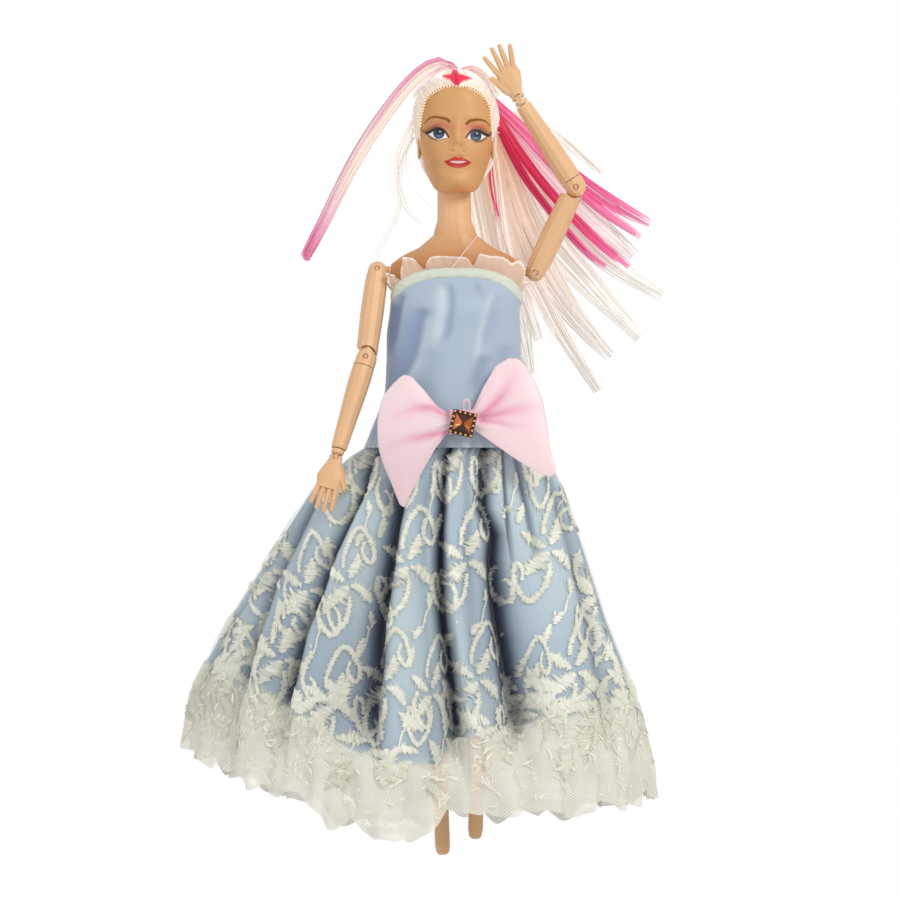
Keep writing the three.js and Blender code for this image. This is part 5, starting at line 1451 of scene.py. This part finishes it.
def make_head():
    levels, turns = head_levels(212, 26), head_turns(196, 60)
    points = head_point(*np.meshgrid(turns, levels)).reshape(-1, 3)
    points[:, 1] -= face_relief(points)
    # The chin and the crown close to a point each
    parts = [points, [[HEAD_X, -9.0, CHIN_Z - 0.1], [HEAD_X, 0.3, CHIN_Z + HEAD_HEIGHT + 0.05]]]
    faces = grid_faces(len(levels), len(turns), True).tolist()
    n, count = len(points), len(turns)
    for k in range(count):
        m = (k + 1) % count
        faces.append([n, m, k])
        faces.append([n + 1, n - count + k, n - count + m])
    start = n + 2
    for side in (-1, 1):
        ear, quads = ear_points(side)
        faces += (quads + start).tolist()
        parts.append(ear)
        start += len(ear)
    made = mesh_object("head_vinyl", np.vstack(parts), faces, FACE_FINISH)
    paint(made, np.vstack([paint_face(points), np.tile(tint("#E2B589"), (start - n, 1))]))
    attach(made, "head")
    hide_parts("head")


# Hair

HAIRLINE = [
    (417.6, 141), (418.2, 128), (419.6, 118), (422, 108.5), (425.1, 100.5), (429.9, 94.9), (436.3, 90.1), (444.3, 87),
    (453, 85.4), (457, 86.6), (465.8, 87), (473.7, 89.3), (480.1, 93.3), (485.7, 99.7), (489.7, 106.1),
    (492.1, 113.2), (493.3, 122.8), (493.8, 132), (494.4, 141),
]
FACE_OPENING = HAIRLINE + [(500, 165), (496, 215), (412, 215), (410, 165)]
CROWN = np.array([0.6, 7.0, 112.6])
# Painted glow: pale fibres give out this share of their colour, for the light they let through
HAIR_GLOW = 0.3
PINK_FAN = [(457, 86.6), (452.8, 82.3), (450, 79), (442.6, 76), (451.5, 74.4), (452.8, 70), (456.4, 70), (458, 73.6),
            (472, 78.6), (464.3, 79.6), (460.6, 82.3)]


def streaks(values, seed):
    """A smooth random pattern from 0 to 1 over an angle."""
    random = np.random.default_rng(seed)
    out = np.zeros_like(values)
    for k in range(9):
        out += np.sin(values * (4 + 9 * k * (0.6 + random.random())) + random.uniform(0, TAU)) / (1 + 0.25 * k)
    return 0.5 + 0.5 * np.tanh(out * 0.6)


def make_scalp():
    """The surface under the strands: close to the head in front, with shallow combed grooves."""
    levels, turns = head_levels(90, 26)[26:], head_turns(150, 110)
    bare = head_point(*np.meshgrid(turns, levels)).reshape(-1, 3)
    front, low = bare[:, 1] < 4.5, bare[:, 2]
    lift = np.where(front, np.clip(inside_distance(project(bare), FACE_OPENING) * 0.12 + 0.15, -1.2, 1.6), 1.6)
    lift = np.where(~front & (low < 84), 1.3, lift)
    lift = np.where(front & (low < 89), -1.0, lift)
    comb = 0.35 + 0.65 * streaks(np.arctan2(bare[:, 0] - CROWN[0], CROWN[1] - bare[:, 1]), 5)
    lift = lift + np.where(lift > 0.2, 0.35 * (comb - 0.5), 0)
    points = bare + unit(bare - [HEAD_X, 1.0, 90.0]) * lift[:, None]
    n, count = len(points), len(turns)
    faces = grid_faces(len(levels), count, True).tolist()
    for k in range(count):
        faces.append([n, n - count + k, n - count + (k + 1) % count])
    top = [HEAD_X, 0.3, CHIN_Z + HEAD_HEIGHT + 1.6]
    made = mesh_object("scalp_hair", np.vstack([points, top]), faces, HAIR_FINISH)
    # Painted shade in the combed grooves, lighter on the ridges between them
    colour = mix(tint("#C9B09C"), tint("#F4E8DD"), smooth(comb, 0.1, 0.8))
    seen = project(points)
    pink = (1 - smooth(inside_distance(seen, PINK_FAN), 0.1, 1.5)) * (bare[:, 1] < 7)
    colour = mix(colour, tint("#D2244A"), pink)
    part = bell(polyline_distance(seen, [(457, 87), (456, 80), (455, 73)]), 0, 1.2)
    colour = mix(colour, tint("#9C0F34"), 0.8 * pink * part)
    paint(made, np.vstack([colour, colour[-1:]]))
    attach(made, "head")
    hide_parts("hair_cap")


CLUMPS = 9


class Strands:
    """Many fine tubes in one mesh, each with its own colours."""

    def __init__(self, seed):
        self.random = np.random.default_rng(seed)
        self.points, self.faces, self.colours = [], [], []
        self.start = 0

    def add(self, line, radii, colours, sides=3):
        points, faces = tube(line, radii, sides)
        self.points.append(points)
        self.faces.append(faces + self.start)
        self.colours.append(np.repeat(np.clip(colours, 0, 1), sides, axis=0))
        self.start += len(points)

    def strand(self, line, radius, colours):
        """A strand that gets thin at its end."""
        taper = np.minimum(1.0, np.linspace(1, 0, len(line)) * 7.0 + 0.35)
        self.add(line, radius * taper, colours)

    def lock(self, guide, widths, count, stops, radius=0.17, thick=3.0, ragged=0.14, wave=0.5, loose=0.35):
        """Strands along a guide; stops are shares of the length with their colours."""
        guide = spline(guide, 60)
        share = np.linspace(0, 1, 60)
        wide = np.interp(share, np.linspace(0, 1, len(widths)), widths)
        side = unit(np.cross(unit(np.gradient(guide, axis=0)), [0.0, 1.0, 0.0]))
        heart = self.random.uniform(-1, 1, CLUMPS)
        stop_share = [s for s, _ in stops]
        stop_colour = np.array([tint(c) for _, c in stops])
        for _ in range(count):
            clump = self.random.integers(CLUMPS)
            spread = np.clip(heart[clump] + loose * self.random.standard_normal(), -1.15, 1.15)
            fore = self.random.uniform(-1, 1) * 0.5 + 0.5 * math.sin(clump * 2.4)
            phase = self.random.uniform(0, TAU) * 0.25 + clump * 1.7
            reach = 1 + ragged * (self.random.random() ** 2 * -1.6 + 0.35 * self.random.random())
            t = np.linspace(0, min(reach, 1.0), 24)
            at, out = (np.stack([np.interp(t, share, v[:, i]) for i in range(3)], 1) for v in (guide, side))
            half = np.interp(t, share, wide) / 2
            swing = spread * half + wave * t * np.sin(t * (5 + 2 * math.sin(clump)) + phase)
            at = at + out * swing[:, None]
            at[:, 1] += fore * thick / 2 * np.minimum(1, 0.4 + t) + 0.25 * wave * np.sin(t * 7 + phase)
            colour = np.stack([np.interp(t, stop_share, stop_colour[:, i]) for i in range(3)], 1)
            light = 0.92 + 0.14 * self.random.standard_normal()
            self.strand(at, radius * self.random.uniform(0.7, 1.3), colour * light)

    def build(self, name, slot, replaced=(), body="head", blend=None):
        made = mesh_object(name, np.vstack(self.points), np.vstack(self.faces), HAIR_FINISH)
        paint(made, np.vstack(self.colours))
        if replaced:
            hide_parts(*replaced)
        if blend is None:
            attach(made, body)
        else:
            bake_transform(made)


WHITE_STOPS = [(0, "#F5E8DA"), (0.5, "#F5EEE6"), (1, "#F0EDE8")]
PINK_STOPS = [(0, "#E8588F"), (0.3, "#F08DB4"), (0.55, "#EA5C9C"), (0.8, "#EF83B2"), (1, "#F2A9C8")]
DEEP_STOPS = [(0, "#DE3A6C"), (0.2, "#DA2C54"), (0.6, "#DE3C70"), (0.85, "#E8619A"), (1, "#EE8DB8")]
PINK_WHITE_STOPS = [(0, "#F0AFC6"), (0.3, "#F6D3DC"), (0.55, "#F8E6E7"), (0.8, "#F5EAE9"), (1, "#F0E8E6")]
BLONDE_PINK_STOPS = [(0, "#EFC7AA"), (0.3, "#F4DCCA"), (0.6, "#F5E9E1"), (1, "#F0EBE6")]
# Locks that fall to the viewer's right: picture places and depths, widths in mm, strands, colours
PINK_GUIDES = [
    ([(487, 95, 9), (523, 129, 10), (552, 157, 10), (583, 182, 9), (616, 205, 9), (650, 224, 8)],
     [2.4, 3.2, 4, 4, 3.8, 2.6], 58, PINK_STOPS),
    ([(487, 98, 10), (523, 136, 10), (552, 166, 10), (580, 193, 9), (610, 217, 9), (640, 238, 8)],
     [1.6, 2.8, 3.2, 3.8, 3.6, 2.2], 46, PINK_STOPS),
    ([(489, 97, 9), (512, 140, 9), (540, 179, 10), (566, 209, 10), (600, 243, 9), (629, 267, 8)],
     [1.8, 2.8, 2.8, 2.8, 2.6, 1.6], 60, DEEP_STOPS),
    ([(488, 100, 9), (509, 148, 9), (529, 183, 10), (560, 222, 10), (590, 254, 9), (606, 267, 9)],
     [1.4, 2.1, 2.3, 2.3, 2.2, 1.2], 40, DEEP_STOPS),
    ([(488, 98, 11), (516, 138, 12), (546, 174, 12), (574, 203, 12), (608, 233, 12), (634, 256, 11)],
     [3, 7, 9, 9, 7, 5], 90, PINK_WHITE_STOPS),
]
BLONDE_GUIDES = [
    ([(489, 108, 13), (520, 152, 15), (556, 205, 16), (602, 257, 15), (662, 296, 14)], [4, 8, 9, 6, 3], 110,
     WHITE_STOPS),
    ([(488, 114, 14), (514, 163, 15), (542, 228, 16), (590, 285, 16), (640, 338, 15)], [4, 9, 11, 8, 4], 130,
     WHITE_STOPS),
    ([(489, 118, 13), (506, 170, 14), (528, 232, 15), (566, 300, 16), (612, 356, 16)], [5, 11, 12, 9, 4], 130,
     BLONDE_PINK_STOPS),
    ([(490, 118, 13), (504, 170, 14), (522, 240, 15), (558, 318, 16), (600, 390, 16)], [5, 9, 10, 8, 4], 130,
     BLONDE_PINK_STOPS),
    ([(491, 120, 12), (497, 160, 11), (501, 190, 12), (507, 235, 14), (520, 280, 16)], [2, 5, 6, 7, 5], 60,
     BLONDE_PINK_STOPS),
    ([(492, 150, 10), (491, 172, 9), (494, 196, 10), (500, 222, 12)], [1, 2.4, 3.4, 3], 5, DEEP_STOPS),
]
BACK_GUIDES = [
    ([(476, 128, 17.6), (482, 184, 18.6), (495, 246, 18), (511, 308, 17.5), (530, 374, 17.5)], [8, 13, 14, 12, 4], 200,
     WHITE_STOPS),
    ([(484, 122, 15.6), (493, 173, 17), (506, 230, 16.5), (519, 292, 16.5), (538, 340, 17)], [6, 9, 9, 7, 3], 90,
     BLONDE_PINK_STOPS),
]
# The lock that falls to the viewer's left: picture places and depths, with pink outer strands and pale inner ones
LEFT_LOCK = [(458, 74, 5), (452.5, 67.5, 5.5), (445, 64, 5.5), (434.5, 65, 5.5), (422, 72.5, 5), (408.5, 85, 4),
             (396.5, 99, 3), (377, 126, 1), (357, 158, -1), (339, 192, -2), (326, 219, -2), (315, 240.6, -2),
             (305, 260, -2)]
LEFT_WIDTHS = [3, 3.6, 4, 4, 4.2, 4.2, 4, 3.6, 3.2, 2.8, 2.4]
LEFT_STRANDS = [
    (-2.2, -3.6, 0.5, 70, [(0, "#E184AD"), (0.2, "#E496B8"), (0.36, "#E7B4C3"), (0.5, "#E8C9CC"), (0.75, "#E7C2CC"),
                           (0.9, "#E28CB0"), (1, "#DF6FA0")]),
    (0, 0, 1.0, 150, [(0, "#E3B9C0"), (0.12, "#E9D6CC"), (0.65, "#E9D9D1"), (0.8, "#E7C4CD"), (0.92, "#E39AB8"),
                      (1, "#DF7FA8")]),
]


def on_scalp(point, lift):
    """The place on the hair cap beside a point, raised by lift."""
    level = min(point[2], CHIN_Z + HEAD_HEIGHT - 0.4)
    wide, front, back, middle = head_section(level)
    deep = front if point[1] < middle else back
    turn = math.atan2((point[1] - middle) / max(deep, 0.1), (point[0] - HEAD_X) / max(wide, 0.1))
    return head_point(turn, level, lift)


def on_scalp_seen(across, down, lift):
    """The place on the hair cap that shows at a place of the picture."""
    y = -6.0
    for _ in range(8):
        x, _, z = place(across, down, y)
        y = on_scalp((x, y, z), lift + 0.05)[1]
    return on_scalp((x, y, z), lift)


def fade(first, last, shares):
    return mix(tint(first), tint(last), shares)


def make_combed_hair():
    """Strands drawn back from the hairline over the scalp to the gathered crown."""
    hair = Strands(21)
    random = hair.random
    along = np.linspace(0, 1, 14)
    for across, down in spline(HAIRLINE, 240):
        # The parting stays free
        if abs(across - 456.8) < 2.2:
            continue
        start = on_scalp_seen(across, down, 0.3)
        off = start[0] - CROWN[0]
        for _ in range(2):
            spread = math.copysign(5.6 + 0.25 * abs(off), off)
            end = CROWN + [spread, random.normal(0, 1.2) + (3 if abs(off) > 9 else 0), -abs(spread) * 0.25]
            steps = []
            for t in along:
                over = start + (end - start) * t
                over[2] += 7.0 * t * (1 - t) * (1.2 if abs(start[0]) > 9 else 0.4)
                steps.append(on_scalp(over, 0.35 + 1.55 * min(1, t * 3.2) + 0.15 * random.random()))
            steps[-1][2] += 1.0
            colour = fade("#F2E2D2", "#FBF4EE", along) * random.uniform(0.74, 1.02)
            hair.strand(steps, random.uniform(0.16, 0.27), colour)
    # Strands drawn round the back of the head to the falls at its side
    for _ in range(420):
        turn = random.uniform(0.15, 3.4)
        low = random.uniform(CHIN_Z + 13, CHIN_Z + HEAD_HEIGHT - 1.5)
        # The low ones stay behind the ears
        if low < 90:
            turn = 0.3 + 0.79 * (turn - 0.15)
        start = head_point(turn, low, 1.6)
        end = np.array([12.5, 12.5, np.interp(low, [80, 112], [88, 103])])
        steps = []
        for t in along:
            over = start + (end - start) * t
            over[1] += 16 * t * (1 - t) * (start[0] < 6)
            steps.append(on_scalp(over, 1.9 + 0.5 * random.random()))
        colour = fade("#E9D8CA", "#F8F0EA", np.full(14, random.random()))
        radius = random.uniform(0.2, 0.32)
        hair.strand(steps, radius, colour * random.uniform(0.9, 1.02))
    # Strands rooted at the nape and combed up over the lower edge of the cap
    t = np.linspace(0, 1, 12)
    for turn in np.linspace(0.22, math.pi - 0.22, 230):
        low = CHIN_Z + random.uniform(6.6, 8.8)
        levels = low + random.uniform(13, 17) * t
        turns = turn + 0.4 * (0.7 - turn) * t**1.5 + random.normal(0, 0.02)
        steps = head_point(turns, levels, 0.2 + 2.0 * np.minimum(1, 2.6 * t))
        colour = fade("#E9D8CA", "#F8F0EA", np.full(12, random.random()))
        radius = random.uniform(0.24, 0.36)
        hair.strand(steps, radius, colour * random.uniform(0.86, 1.0))
    # Rooted tufts, seen as a row of beads along the hairline, every other one pale; the dark ones are painted shade in
    # the gaps between the tufts
    for k, (across, down) in enumerate(spline(HAIRLINE[1:-1], 89)):
        size, out, code = (1.1, 0.25, "#F3D9B4") if k % 2 else (0.75, 0.1, "#8A5A34")
        spot = on_scalp_seen(across, down, 0.25)
        toward = (CROWN - spot) / np.linalg.norm(CROWN - spot)
        bead = spot + np.outer([-0.5, -0.2, 0.45, 1.1], toward) - [0, out, 0]
        hair.add(bead, np.array([0.14, 0.42, 0.42, 0.16]) * size, np.tile(tint(code), (4, 1)), 6)
    hair.build("combed_hair", "blonde_hair")


def make_hair():
    make_scalp()
    make_combed_hair()
    falls = [
        ("pink_fall", "pink_hair", PINK_GUIDES, "hair_fall_pink", ((14, 9, 104), (38, 10, 70)), 31),
        ("blonde_fall", "blonde_hair", BLONDE_GUIDES, "hair_fall_blonde", ((12, 13, 98), (34, 15, 50)), 32),
        ("back_fall", "blonde_hair", BACK_GUIDES, "hair_fall_back", ((8, 17, 90), (14, 18, 46)), 33),
    ]
    for name, slot, guides, node, span, seed in falls:
        hair = Strands(seed)
        for spots, widths, count, stops in guides:
            guide = [place(*spot) for spot in spots]
            hair.lock(guide, widths, count, stops, radius=0.23, loose=0.26)
        if name == "blonde_fall":
            hair.lock([place(497, 108, 12), place(520, 116, 12), place(548, 128, 11), place(603, 172, 10)],
                      [1, 2, 2.6, 2], 34, WHITE_STOPS, radius=0.2, thick=1.0, ragged=0.06)
        start, end = (tuple(v * MM for v in p) for p in span)
        hair.build(name, slot, (node,), blend=(start, end))
    hair = Strands(34)
    for right, down, wide, count, stops in LEFT_STRANDS:
        guide = [place(a + right, d + down * min(1, k / 2), y) for k, (a, d, y) in enumerate(LEFT_LOCK)]
        hair.lock(guide, [wide * w for w in LEFT_WIDTHS], count, stops, ragged=0.06, wave=0.35)
    hair.lock([place(458, 73, 5), place(447, 69, 5), place(431, 80, 4), place(413, 97, 2)], [2, 2.6, 2, 1], 26,
              [(0, "#EBC4CA"), (1, "#F1E2DA")], thick=2)
    hair.lock([(1.5, 6, 113.4), (6, 6, 114.2), (11, 6.5, 110.6), (15, 8, 104)], [3, 4, 4.5, 4], 60,
              [(0, "#EBB3C2"), (0.4, "#F5E1DA"), (1, "#F7F0E8")], radius=0.18)
    hair.build("crown_lock", "pink_hair", ("hair_lock_right",))
    wisps = Strands(35)
    for path in ([(414, 137), (399, 169), (404, 204), (424, 226)], [(412, 120), (396, 160), (397, 209), (372, 266)],
                 [(413, 128), (404, 160), (410, 190), (430, 212)]):
        wisps.lock([place(a, d, -2) for a, d in path], [1, 2, 2.6, 2.4], 10, WHITE_STOPS, radius=0.1, thick=1.5,
                   ragged=0.5, loose=0.8)
    wisps.build("loose_wisps", "blonde_hair")
    stray = Strands(36)
    stray.lock([place(486, 226, -6), place(470, 245, -11), place(459, 259, -15), place(450, 271, -18)], [0.2] * 4, 1,
               WHITE_STOPS, radius=0.2, thick=0.0, ragged=0.0, wave=0.0)
    stray.build("stray_hair", "blonde_hair", body="torso")


face_vinyl = Finish("face_vinyl", FACE_SKIN, 0.45, Subsurface_Weight=0.08, Subsurface_Scale=0.001,
                    Specular_IOR_Level=0.3)
FACE_FINISH = face_vinyl.painted().material
HAIR_FINISH = Finish("hair_fibre", BLONDE, 0.42, Specular_IOR_Level=0.4).painted().glow(HAIR_GLOW).material

make_head()
make_hair()
